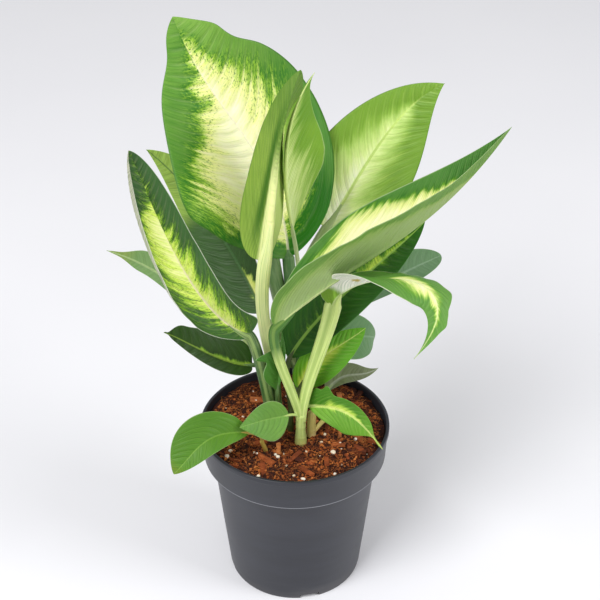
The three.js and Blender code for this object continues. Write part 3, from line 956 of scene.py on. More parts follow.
    @staticmethod
    def faces(rows: int, wide: int) -> list[tuple[int, ...]]:
        """Faces of a closed sheet: the upper grid, the lower grid turned over, and the rim between them.

        Args:
            rows: Points along.
            wide: Points across.

        Returns:
            Corner numbers of each face.
        """
        at = np.arange(rows * wide).reshape(rows, wide)
        below = rows * wide
        quads = np.stack([at[:-1, :-1], at[:-1, 1:], at[1:, 1:], at[1:, :-1]], axis=-1).reshape(-1, 4)
        edge = np.concatenate([at[0, :-1], at[:-1, -1], at[-1, :0:-1], at[:0:-1, 0]])
        after = np.roll(edge, -1)
        rim = np.stack([after, edge, below + edge, below + after], axis=-1)
        return [*map(tuple, quads), *map(tuple, quads[:, ::-1] + below), *map(tuple, rim)]


# Shoots.

ROW_GAP = 2.5
FEWEST_ROWS = 14
SUNK_ROWS = 10
SUNK_MOST = 0.2
SUNK_THINNER = 0.72


@dataclass(frozen=True)
class StemFinish:
    """Colours of one shoot: pale and green stalks, the dark lines along them, and the older foot.

    Below sheath_z everything is green, and the foot's colour sets in from the first to the second foot_z,
    all in metres.
    """

    pale: str
    green: str
    line: str
    foot: str
    sheath_z: float = 0.0
    foot_z: tuple[float, float] = (0.124, 0.112)
    roughness: float = 0.4
    relief: float = 0.0004

    def material(self, name: str) -> bpy.types.Material:
        """The shoot's material, with streaks along each stalk and a darker, drier foot.

        Args:
            name: Its name.

        Returns:
            The material, which reads the shoot's two UV maps.
        """
        material, bench = new_material(name)
        turn, along = bench.uv(UV_METRIC)
        tint, groove = bench.uv(UV_SHARE)
        height = bench.parts(bench.place())[2]
        streak = bench.noise(bench.joined(turn * 9, along * 14, groove * 20), 1.0, 3.0, 0.6)
        thread = bench.noise(bench.joined(turn * 34, along * 30, groove * 11))
        blotch = bench.noise(bench.joined(turn * 3, along * 60, groove * 5))
        sheath = height.step(self.sheath_z + 0.004, self.sheath_z - 0.002)
        channel = abs(turn - 0.15 + (blotch - 0.5) * 0.2).step(0.4, 0.1) * groove.least(0.55)
        old = height.step(*self.foot_z) * (blotch.step(0.3, 0.7) * 0.5 + 0.5)
        colour = bench.layered(
            self.pale,
            (tint.most(sheath) + (blotch - 0.5) * 0.5, self.green),
            (streak.step(0.5, 0.68) * 0.75, self.line),
            (thread.step(0.55, 0.8) * 0.3, self.pale),
            (channel, self.line),
            (old, self.foot),
        )
        ridges = thread * 0.6 + streak * 0.4
        bench.finish(
            {
                "Base Color": colour,
                "Roughness": self.roughness + (streak - 0.5) * 0.2,
                "Specular IOR Level": 0.45,
                "Subsurface Weight": 0.15,
                "Subsurface Radius": (0.8, 1.0, 0.3),
                "Subsurface Scale": 0.002,
                "Normal": bench.bump(ridges, self.relief, 0.6),
            }
        )
        return material


@dataclass(frozen=True)
class Stalk:
    """A leaf's stalk: where it leaves the cane, its radii there and at the blade, and its course.

    lead and reach say how long it keeps the cane's direction and the blade's, as shares of the distance.
    A clasping stalk is flat, to a share of its width, with a groove along its front. tint is 0 for pale
    and 1 for green, and blade_tint is the same near the blade where that differs. merge is how many radii
    it runs along the midrib before it has sunk into the keel.
    """

    leaf: str
    start: Triple
    radii: tuple[float, float]
    lead: float
    reach: float
    flat: float = 1.0
    groove: float = 0.0
    tint: float = 0.3
    blade_tint: float | None = None
    merge: float = 5.0

    def tints(self) -> tuple[float, float]:
        """The tint at the cane and near the blade."""
        return self.tint, self.tint if self.blade_tint is None else self.blade_tint

    def course(self, leaf: "Leaf") -> tuple[np.ndarray, np.ndarray]:
        """The stalk's middle line, from the cane until it sinks into the blade's keel.

        Args:
            leaf: The blade that it bears.

        Returns:
            Points in mm and the radius at each.
        """
        start, end = np.array(self.start), np.array(leaf.rib[0])
        arrive = direction_at(leaf.rib, np.array([0.0]))[0]
        distance = float(np.linalg.norm(end - start))
        corners = (start, start + (0, 0, self.lead * distance), end - self.reach * distance * arrive, end)
        t = np.linspace(0, 1, max(FEWEST_ROWS, round(distance / ROW_GAP)))[:, None]
        shares = ((1 - t) ** 3, 3 * t * (1 - t) ** 2, 3 * t**2 * (1 - t), t**3)
        line = sum(share * corner for share, corner in zip(shares, corners))
        radii = np.linspace(*self.radii, len(line))

        length = np.linalg.norm(np.diff(cubic_at(leaf.rib, np.linspace(0, 1, 20)), axis=0), axis=1).sum()
        end_radius = self.radii[1]
        sink = np.linspace(0, 1, SUNK_ROWS)[1:]
        s = sink * min(SUNK_MOST, self.merge * end_radius / length)
        thin = end_radius * (1 - SUNK_THINNER * sink)
        deep = np.maximum(0, leaf.keel * 0.9 + 0.1 - thin[-1]) * sink
        deep = deep + 0.35 * end_radius * sink * (1 - sink)
        _, up = leaf.axes_at(s)
        return np.vstack([line, cubic_at(leaf.rib, s) - up * deep[:, None]]), np.concatenate([radii, thin])


@dataclass(frozen=True)
class Shoot:
    """A cane out of the soil and the stalks that leave it. Sizes in mm.

    twig is a bare stalk: its two ends and its radius at each.
    """

    foot: tuple[float, float]
    cane: tuple[Triple, Triple, Triple]
    radii: Triple
    stalks: tuple[Stalk, ...]
    finish: StemFinish
    twig: tuple[Triple, Triple, float, float] | None = None
    buried_z: float = 100.0
    cane_tint: float = 0.2
    cane_steps: int = 56
    twig_steps: int = 12
    scar_gap: float = 8.5
    scar_swell: float = 0.05
    scar_height: float = 0.7
    dome: float = 0.6
    tint_change: tuple[float, float] = (0.42, 0.53)
    sides: int = 28

    def tube(
        self, points: np.ndarray, radii: np.ndarray, flat: float, groove: float, tints: tuple[float, float]
    ) -> bpy.types.Object:
        """A closed tube along points, with a rounded far end.

        Args:
            points: Middle line in mm.
            radii: Radius at each point.
            flat: Depth as a share of the width at its end.
            groove: Depth of the channel along its front at its end, as a share of the radius.
            tints: 0 for pale and 1 for green, at its start and at its end.

        Returns:
            The tube as an object.
        """
        turns = np.radians([25, 50, 70, 84])
        tip = unit(points[-1] - points[-2])
        points = np.vstack([points, points[-1] + np.sin(turns)[:, None] * radii[-1] * self.dome * tip])
        radii = np.concatenate([radii, radii[-1] * np.cos(turns)])
        along = unit(np.gradient(points, axis=0))
        front = fronts(along)
        side = np.cross(along, front)
        angle = np.linspace(0, FULL_TURN, self.sides, endpoint=False)[None, :]
        cos, sin = np.cos(angle), np.sin(angle)
        rows = len(points)
        share = np.linspace(0, 1, rows)
        depth = 1 + (flat - 1) * share[:, None]
        channel = np.where(sin > 0, 1 - groove * share[:, None] * (1 - np.abs(cos)), 1)
        radius = radii[:, None]
        rings = points[:, None] - side[:, None] * (radius * cos)[..., None]
        rings = rings + front[:, None] * (radius * depth * channel * sin)[..., None]
        run = np.concatenate([[0], np.cumsum(np.linalg.norm(np.diff(points, axis=0), axis=1))]) * MM
        around = np.stack(np.broadcast_arrays(cos, run[:, None]), axis=-1).reshape(-1, 2)
        tint = np.interp(share, self.tint_change, tints)
        tint = np.concatenate([np.repeat(tint, self.sides), tint[[0, -1]]])
        return mesh_object(
            "tube",
            np.vstack([rings.reshape(-1, 3), points[[0, -1]]]) * MM,
            ring_faces(rows, self.sides),
            {
                UV_METRIC: np.vstack([around, [[0, 0], [0, run[-1]]]]),
                UV_SHARE: np.stack([tint, np.full(len(tint), groove)], axis=-1),
            },
        )

    def cane_tube(self) -> bpy.types.Object:
        """Makes the cane, slightly swollen at its leaf scars, with a rounded top.

        Returns:
            The cane as an object.
        """
        corners = np.array([(*self.foot, self.buried_z), *self.cane])
        t = np.linspace(0, len(corners) - 1, self.cane_steps + 1)
        line = np.stack([np.interp(t, range(len(corners)), corners[:, k]) for k in range(3)], axis=1)
        radii = np.interp(t, range(len(corners)), [self.radii[0], *self.radii])
        scars = np.abs((line[:, 2] + 3) % self.scar_gap - self.scar_gap / 2)
        radii = radii * (1 + self.scar_swell * np.exp(-((scars / self.scar_height) ** 2)))
        return self.tube(line, radii, 1, 0, (self.cane_tint, self.cane_tint))

    def build(self, node: str) -> bpy.types.Object:
        """Makes the shoot as one closed mesh.

        Args:
            node: The CAD node that it stands for.

        Returns:
            The piece.
        """
        shoot = self.cane_tube()
        tubes = []
        for stalk in self.stalks:
            line, radii = stalk.course(LEAVES[stalk.leaf])
            tubes.append(self.tube(line, radii, stalk.flat, stalk.groove, stalk.tints()))
        if self.twig:
            start, end, *widths = self.twig
            line, radii = (np.linspace(*ends, self.twig_steps) for ends in ((start, end), widths))
            tubes.append(self.tube(line, radii, 1, 0, (self.cane_tint, self.cane_tint)))
        for tube in tubes:
            join(shoot, tube)
        shoot.name = shoot.data.name = node + "_grown"
        shoot.data.materials.clear()
        shoot.data.materials.append(self.finish.material(node + "_finish"))
        shoot.data.shade_smooth()
        return shoot


def join(piece: bpy.types.Object, other: bpy.types.Object) -> None:
    """Makes two closed solids one.

    Args:
        piece: The solid that takes up the other.
        other: The other, which is removed.
    """
    modifier = piece.modifiers.new("join", "BOOLEAN")
    modifier.operation = "UNION"
    modifier.solver = "EXACT"
    modifier.object = other
    old = piece.data
    piece.data = applied(piece, modifier)
    bpy.data.meshes.remove(old)
    discard(other)


# Pot.


@dataclass(frozen=True)
class PotFinish:
    """Satin black moulded plastic: fine grain, faint flow marks, dust on the foot, scuffs on edges and a
    painted highlight along the collar's lower edge.
    """

    body: str = "24262e"
    worn: str = "3a3d46"
    dust: str = "5d5a58"
    painted_highlight: str = "8a8c92"
    painted_highlight_z: float = 0.0958
    painted_highlight_half: float = 0.0007
    dust_z: float = 0.02
    grain_scale: float = 1400.0
    roughness: float = 0.42
    relief: float = 0.00012

    def material(self) -> bpy.types.Material:
        """The pot's material.

        Returns:
            The material, which reads Object coordinates.
        """
        material, bench = new_material("pot_plastic_moulded")
        place = bench.place()
        x, y, z = bench.parts(place)
        grain = bench.noise(place, self.grain_scale)
        flow = bench.noise(bench.joined(x * 14, y * 14, z * 70), 1.0, 3.0, 0.55)
        scuff = bench.noise(bench.joined(x * 60, y * 60, z * 260), 1.0, 4.0, 0.7)
        # A pale line along the collar's lower edge is a painted highlight, where light catches that rounded
        # rim.
        painted_highlight = abs(z - self.painted_highlight_z).step(self.painted_highlight_half, 0.0002) * (0.6 + flow * 0.6)
        colour = bench.layered(
            self.body,
            (flow.step(0.35, 0.7) * 0.35, self.worn),
            (scuff.step(0.62, 0.8) * 0.35, self.worn),
            (z.step(self.dust_z, 0.0) * flow.step(0.4, 0.7) * 0.35, self.dust),
            (painted_highlight, self.painted_highlight),
        )
        height = grain * 0.7 + scuff * 0.3
        bench.finish(
            {
                "Base Color": colour,
                "Roughness": self.roughness + (flow - 0.5) * 0.16 + scuff.step(0.6, 0.8) * 0.12,
                "Specular IOR Level": 0.5,
                "Normal": bench.bump(height, self.relief, 0.5),
            }
        )
        return material


@dataclass(frozen=True)
class Pot:
    """A moulded nursery pot: tapering body, stepped collar and lip, floor, foot ring. Sizes in mm."""

    height: float = 119.0
    rim_radius: float = 63.5
    lip_height: float = 3.5
    lip_width: float = 2.1
    collar_top_radius: float = 62.6
    collar_foot_radius: float = 61.5
    collar_foot_z: float = 95.4
    body_top_radius: float = 55.6
    body_mid_radius: float = 50.1
    body_mid_z: float = 41.0
    body_foot_radius: float = 45.9
    body_foot_z: float = 2.4
    foot_radius: float = 45.3
    foot_ring_width: float = 2.0
    wall: float = 1.3
    floor_underside: float = 3.4
    floor_top: float = 4.8
    pad_radius: float = 14.0
    drain_holes: int = 6
    drain_radius: float = 4.0
    drain_ring: float = 32.0
    drill_depth: float = 6.0
    notches: int = 4
    notch_width: float = 13.0
    notch_height: float = 3.4
    notch_start: float = math.radians(-77)
    segments: int = 176
    fillet_steps: int = 3
    crease_angle: float = math.radians(38)
    finish: PotFinish = PotFinish()

    def corners(self) -> list[tuple[float, float, float]]:
        """Corners of the outline, from under the floor to its upper side.

        Returns:
            Each corner's radius, height and fillet.
        """
        rim, lip_z = self.rim_radius, self.height - self.lip_height
        inside = rim - self.lip_width
        ring = self.foot_radius - self.foot_ring_width
        inner_step = self.collar_foot_z + self.wall
        return [
            (0, 0, 0),
            (self.pad_radius, 0, 0.4),
            (self.pad_radius + 1, self.floor_underside, 0.3),
            (ring, self.floor_underside, 0.3),
            (ring, 0, 0.3),
            (self.foot_radius, 0, 0.4),
            (self.body_foot_radius, self.body_foot_z, 0.6),
            (self.body_mid_radius, self.body_mid_z, 12),
            (self.body_top_radius, self.collar_foot_z, 0.5),
            (self.collar_foot_radius, self.collar_foot_z, 0.7),
            (self.collar_top_radius, lip_z, 0.35),
            (rim, lip_z, 0.35),
            (rim, self.height, 0.7),
            (inside, self.height, 0.6),
            (self.collar_foot_radius - self.wall, inner_step, 0.4),
            (self.body_top_radius - self.wall, inner_step, 0.4),
            (self.body_mid_radius - self.wall, self.body_mid_z, 8),
            (self.body_foot_radius - self.wall, self.floor_top, 1),
            (self.pad_radius, self.floor_top, 0.3),
            (0, self.floor_top, 0),
        ]

    def outline(self) -> np.ndarray:
        """The outline with its corners rounded.

        Returns:
            Its points as radius and height in metres.
        """
        corners = self.corners()
        rounded = [corners[0][:2]]
        for before, (x, z, fillet), after in zip(corners, corners[1:], corners[2:]):
            here = np.array([x, z])
            back, ahead = np.array(before[:2]) - here, np.array(after[:2]) - here
            reach = min(fillet, 0.45 * np.linalg.norm(back), 0.45 * np.linalg.norm(ahead))
            start, end = here + unit(back) * reach, here + unit(ahead) * reach
            for t in np.linspace(0, 1, self.fillet_steps + 1):
                rounded.append(tuple(start * (1 - t) ** 2 + here * 2 * t * (1 - t) + end * t**2))
        rounded.append(corners[-1][:2])
        return np.array(rounded) * MM

    def tree(self, points: int) -> bpy.types.NodeTree:
        """The Geometry Nodes tree that turns the outline about the axis and cuts holes and notches.

        Args:
            points: Number of the outline's points.

        Returns:
            The tree.
        """
        inputs = {
            "Segments": self.segments,
            "Drain holes": self.drain_holes,
            "Drain radius": self.drain_radius * MM,
            "Drain ring": self.drain_ring * MM,
            "Floor": (self.floor_underside + self.floor_top) / 2 * MM,
            "Notches": self.notches,
            "Notch start": self.notch_start,
            "Notch ring": self.foot_radius * MM,
        }
        bench, inlet = new_geometry_tree("turned_pot", inputs)
        columns = inlet["Segments"] + 1
        grid = bench.node("GeometryNodeMeshGrid", {"Vertices X": points, "Vertices Y": columns})
        index = bench.node("GeometryNodeInputIndex")
        position = bench.node("GeometryNodeInputPosition")
        row = ((index + 0.5) / columns).floor()
        sampled = bench.node(
            "GeometryNodeSampleIndex",
            {"Geometry": inlet["Geometry"], "Value": position, "Index": row},
            data_type="FLOAT_VECTOR",
            domain="POINT",
        )
        radius, _, height = bench.parts(sampled)
        angle = index % columns * FULL_TURN / inlet["Segments"]
        turned = bench.joined(radius * angle.cosine(), radius * angle.sine(), height)
        shell = bench.node("GeometryNodeSetPosition", {"Geometry": grid, "Position": turned})
        shell = bench.node("GeometryNodeMergeByDistance", {"Geometry": shell, "Distance": 1e-6})
        drill = {"Vertices": 40, "Radius": inlet["Drain radius"], "Depth": self.drill_depth * MM}
        hole = bench.node("GeometryNodeMeshCylinder", drill, fill_type="NGON")
        block = (4 * self.foot_ring_width * MM, self.notch_width * MM, 2 * self.notch_height * MM)
        notch = bench.node("GeometryNodeMeshCube", {"Size": block})
        holes = self.around(bench, hole, inlet["Drain holes"], 0.0, inlet["Drain ring"], inlet["Floor"])
        notches = self.around(bench, notch, inlet["Notches"], inlet["Notch start"], inlet["Notch ring"], 0.0)
        meshes = {"Mesh 1": shell, "Mesh 2": [holes, notches]}
        cut = bench.node("GeometryNodeMeshBoolean", meshes, operation="DIFFERENCE", solver="EXACT")
        return bench.close(cut, inlet["Material"])

    @staticmethod
    def around(
        bench: Bench, shape: Signal, count: Signal, start: Any, radius: Signal, height: Any
    ) -> Signal:
        """Copies of a shape spread round the axis.

        Args:
            bench: The tree's bench.
            shape: The shape's mesh.
            count: How many.
            start: Angle of the first.
            radius: Their distance from the axis.
            height: Their height.

        Returns:
            The copies, realized.
        """
        points = bench.node("GeometryNodePoints", {"Count": count})
        angle = bench.node("GeometryNodeInputIndex") * FULL_TURN / count + start
        place = bench.joined(angle.cosine() * radius, angle.sine() * radius, height)
        points = bench.node("GeometryNodeSetPosition", {"Geometry": points, "Position": place})
        copies = {"Points": points, "Instance": shape, "Rotation": bench.joined(0.0, 0.0, angle)}
        made = bench.node("GeometryNodeInstanceOnPoints", copies)
        return bench.node("GeometryNodeRealizeInstances", {"Geometry": made})

    def build(self) -> bpy.types.Object:
        """Makes the pot as one closed mesh.

        Returns:
            The piece.
        """
        outline = self.outline()
        points = np.stack([outline[:, 0], 0 * outline[:, 0], outline[:, 1]], axis=1)
        start = mesh_object("pot_outline", points, [])
        pot = baked(start, "nursery_pot", self.tree(len(points)), self.finish.material())
        outwards(pot.data)
        pot.data.shade_smooth()
        pot.data.set_sharp_from_angle(angle=self.crease_angle)
        return pot


def outwards(mesh: bpy.types.Mesh) -> None:
    """Turns every face of a closed mesh outwards.

    Args:
        mesh: The mesh.
    """
    work = bmesh.new()
    work.from_mesh(mesh)
    bmesh.ops.recalc_face_normals(work, faces=work.faces)
    work.to_mesh(mesh)
    work.free()


# Potting mix.


@dataclass(frozen=True)
class GrainFinish:
    """A loose grain's colours, light and dark, chosen grain by grain, with wear on its surface."""

    light: str
    middle: str
    dark: str
    roughness: float = 0.85
    stretch: Triple = (1.0, 1.0, 1.0)
    grain_scale: float = 900.0
    patch_scale: float = 140.0
    relief: float = 0.0006

    def material(self, name: str) -> bpy.types.Material:
        """The grains' material.

        Args:
            name: Its name.

        Returns:
            The material, which reads Object coordinates and the tint of each grain.
        """
        material, bench = new_material(name)
        x, y, z = bench.parts(bench.place())
        sx, sy, sz = self.stretch
        grain = bench.noise(bench.joined(x * sx, y * sy, z * sz), self.grain_scale, 3.0, 0.6)
        broad = bench.noise(bench.place(), self.patch_scale)
        choice = bench.attribute(TINT) * 0.75 + grain * 0.5 - 0.12
        colour = bench.layered(
            self.dark,
            (choice.step(0.1, 0.55), self.middle),
            (choice.step(0.55, 1.0), self.light),
            (broad.step(0.6, 0.35) * 0.5, self.dark),
        )
        bench.finish(
            {
                "Base Color": colour,
                "Roughness": self.roughness + (grain - 0.5) * 0.15,
                "Specular IOR Level": 0.3,
                "Normal": bench.bump(grain, self.relief, 0.8),
            }
        )
        return material


class Grain(Enum):
    """Shapes of loose grains."""

    LUMP = "lump"
    CHIP = "chip"
    STRAND = "strand"


@dataclass(frozen=True)
class Scatter:
    """Loose grains strewn over the soil's top by Geometry Nodes. Sizes in mm, density per square metre."""

    name: str
    shape: Grain
    density: float
    length: tuple[float, float]
    proportions: Triple
    finish: GrainFinish
    seed: int
    tilt: float = 0.6
    lift: float = 0.0
    warp: float = 0.3
    warp_size: float = 3.0
    detail: int = 1

    def model(self, bench: Bench) -> Signal:
        """One grain of length 1, before its size, turn and warp.

        Args:
            bench: The tree's bench.

        Returns:
            The grain's mesh.
        """
        if self.shape is Grain.STRAND:
            bend = {"Resolution": 6, "Start": (-0.5, 0, 0), "Middle": (0, 0.25, 0.12), "End": (0.5, 0, 0)}
            line = bench.node("GeometryNodeCurveQuadraticBezier", bend)
            section = {"Resolution": 4, "Radius": 0.5}
            ring = bench.node("GeometryNodeCurvePrimitiveCircle", section, mode="RADIUS")
            thin = self.proportions[1]
            strand = {"Curve": line, "Profile Curve": ring, "Scale": thin, "Fill Caps": True}
            return bench.node("GeometryNodeCurveToMesh", strand)
        if self.shape is Grain.LUMP:
            made = bench.node("GeometryNodeMeshIcoSphere", {"Radius": 0.5, "Subdivisions": self.detail})
        else:
            block = {"Size": (1, 1, 1), "Vertices X": 4, "Vertices Y": 3, "Vertices Z": 2}
            made = bench.node("GeometryNodeMeshCube", block)
        return bench.node("GeometryNodeTransform", {"Geometry": made, "Scale": self.proportions})

    def tree(self) -> bpy.types.NodeTree:
        """The Geometry Nodes tree that strews the grains over the faces that it is given.

        Returns:
            The tree.
        """
        inputs = {
            "Density": self.density,
            "Shortest": self.length[0] * MM,
            "Longest": self.length[1] * MM,
            "Tilt": self.tilt,
            "Lift": self.lift * MM,
            "Warp": self.warp * MM,
            "Warp size": self.warp_size * MM,
            "Seed": self.seed,
        }
        bench, inlet = new_geometry_tree(self.name + "_strewn", inputs)

        def chance(low: Any, high: Any, offset: int) -> Signal:
            """A random value for each grain."""
            limits = {"Min": low, "Max": high, "Seed": inlet["Seed"] + offset}
            return bench.node("FunctionNodeRandomValue", limits, data_type="FLOAT")

        points = bench.node(
            "GeometryNodeDistributePointsOnFaces",
            {"Mesh": inlet["Geometry"], "Density": inlet["Density"], "Seed": inlet["Seed"]},
            distribute_method="RANDOM",
        )
        tilt = inlet["Tilt"]
        turn = bench.joined(chance(tilt * -1, tilt, 1), chance(tilt * -1, tilt, 2), chance(0.0, FULL_TURN, 3))
        size = inlet["Shortest"] + (inlet["Longest"] - inlet["Shortest"]) * chance(0.0, 1.0, 4) ** 1.8
        wide = high = size
        if self.shape is not Grain.STRAND:
            wide, high = size * chance(0.7, 1.3, 5), size * chance(0.7, 1.3, 6)
        scale = bench.joined(size, wide, high)
        copies = {"Points": points, "Instance": self.model(bench), "Rotation": turn, "Scale": scale}
        made = bench.node("GeometryNodeInstanceOnPoints", copies)
        stored = {"Geometry": made, "Name": TINT, "Value": chance(0.0, 1.0, 7)}
        made = bench.node("GeometryNodeStoreNamedAttribute", stored, data_type="FLOAT", domain="INSTANCE")
        made = bench.node("GeometryNodeRealizeInstances", {"Geometry": made})

        # Each grain is warped by noise and lifted out of the soil.
        position = bench.node("GeometryNodeInputPosition")
        lumps = {"Vector": position, "Scale": 1.0 / inlet["Warp size"], "Detail": 1.0}
        warp = bench.node("ShaderNodeTexNoise", lumps, "Color")
        lift = bench.joined(0.0, 0.0, inlet["Lift"])
        warp = bench.vector("SUBTRACT", {0: warp, 1: (0.5, 0.5, 0.5)})
        warp = bench.vector("SCALE", {"Vector": warp, "Scale": inlet["Warp"] * 2})
        offset = bench.vector("ADD", {0: warp, 1: lift})
        made = bench.node("GeometryNodeSetPosition", {"Geometry": made, "Offset": offset})
        return bench.close(made, inlet["Material"])

    def build(self, ground: bpy.types.Object) -> bpy.types.Object:
        """Strews the grains over a piece's faces and returns them as one mesh."""
        start = placed(self.name + "_ground", ground.data.copy())
        return baked(start, self.name, self.tree(), self.finish.material(self.name + "_finish"))


@dataclass(frozen=True)
class PottingMix:
    """Bark and coir mix that fills the pot to just under the rim. Sizes in mm."""

    pot: Pot
    gap: float = 0.3
    top: float = 114.4
    edge_top: float = 113.4
    edge_width: float = 6.0
    flare: float = 0.5
    middle: float = 0.6
    rings: int = 92
    segments: int = 260
    lump: float = 0.75
    crumb: float = 0.45
    bare_edge: float = 2.5
    tint: float = 0.35
    finish: GrainFinish = GrainFinish("6e3418", "40190a", "1a0804")

    def top_at(self, x: np.ndarray, y: np.ndarray) -> np.ndarray:
        """Height of the soil's uneven top.

        Args:
            x: First coordinate of each place in mm.
            y: Second coordinate.

        Returns:
            The height of each place in mm.
        """
        swell = 0.7 * np.sin(0.13 * x + 1) * np.cos(0.11 * y + 0.4)
        broad = 0.4 * np.sin(0.31 * x - 0.27 * y)
        lumps = self.lump * value_noise(x, y, 4.2, 1)
        crumbs = self.crumb * value_noise(x, y, 1.7, 2)
        return self.top + swell + broad + lumps + crumbs

    def ring_points(self, radius: float, z: float) -> np.ndarray:
        """Points of one level ring."""
        angle = np.linspace(0, FULL_TURN, self.segments, endpoint=False)
        return np.stack([radius * np.cos(angle), radius * np.sin(angle), np.full(len(angle), z)], axis=1)

    def surface(self, reach: float) -> np.ndarray:
        """Points of the soil's top.

        Args:
            reach: Radius of the outermost ring in mm.

        Returns:
            Points in mm: rings from that radius inwards, and the middle.
        """
        radii = np.linspace(reach, self.middle, self.rings)
        points = np.vstack([self.ring_points(radius, 0) for radius in radii])
        points[:, 2] = self.top_at(points[:, 0], points[:, 1])
        inside = np.hypot(points[:, 0], points[:, 1]) - reach + self.edge_width
        points[:, 2] += np.clip(inside / self.edge_width, 0, 1) ** 2 * (self.edge_top - self.top)
        return np.vstack([points, points[-self.segments :].mean(axis=0)])

    def build(self) -> bpy.types.Object:
        """Makes the body of the mix as one closed mesh, from its floor up the pot's wall and over its top.

        Returns:
            The piece.
        """
        pot = self.pot
        space = pot.wall + self.gap
        floor_z, step_z = pot.floor_top + self.gap, pot.collar_foot_z + space
        wall = (
            (pot.body_foot_radius, floor_z),
            (pot.body_mid_radius, pot.body_mid_z),
            (pot.body_top_radius, step_z),
            (pot.collar_foot_radius, step_z),
        )
        rings = [self.ring_points(radius - space, z) for radius, z in wall]
        top = self.surface(pot.collar_foot_radius - space + self.flare)
        points = np.vstack([*rings, top[:-1], [[0, 0, floor_z]], top[-1:]])
        faces = ring_faces(len(wall) + self.rings, self.segments)
        mix = mesh_object("potting_mix", points * MM, faces, None, {TINT: np.full(len(points), self.tint)})
        mix.data.materials.append(self.finish.material("potting_mix_finish"))
        return mix

    def ground(self) -> bpy.types.Object:
        """The patch of the soil's top that grains lie on.

        Returns:
            The patch as an object.
        """
        points = self.surface(self.pot.collar_foot_radius - self.pot.wall - self.bare_edge)
        faces = ring_faces(self.rings, self.segments, floored=False)
        return mesh_object("soil_top_patch", points * MM, faces)


# The plant's own sizes and finishes.

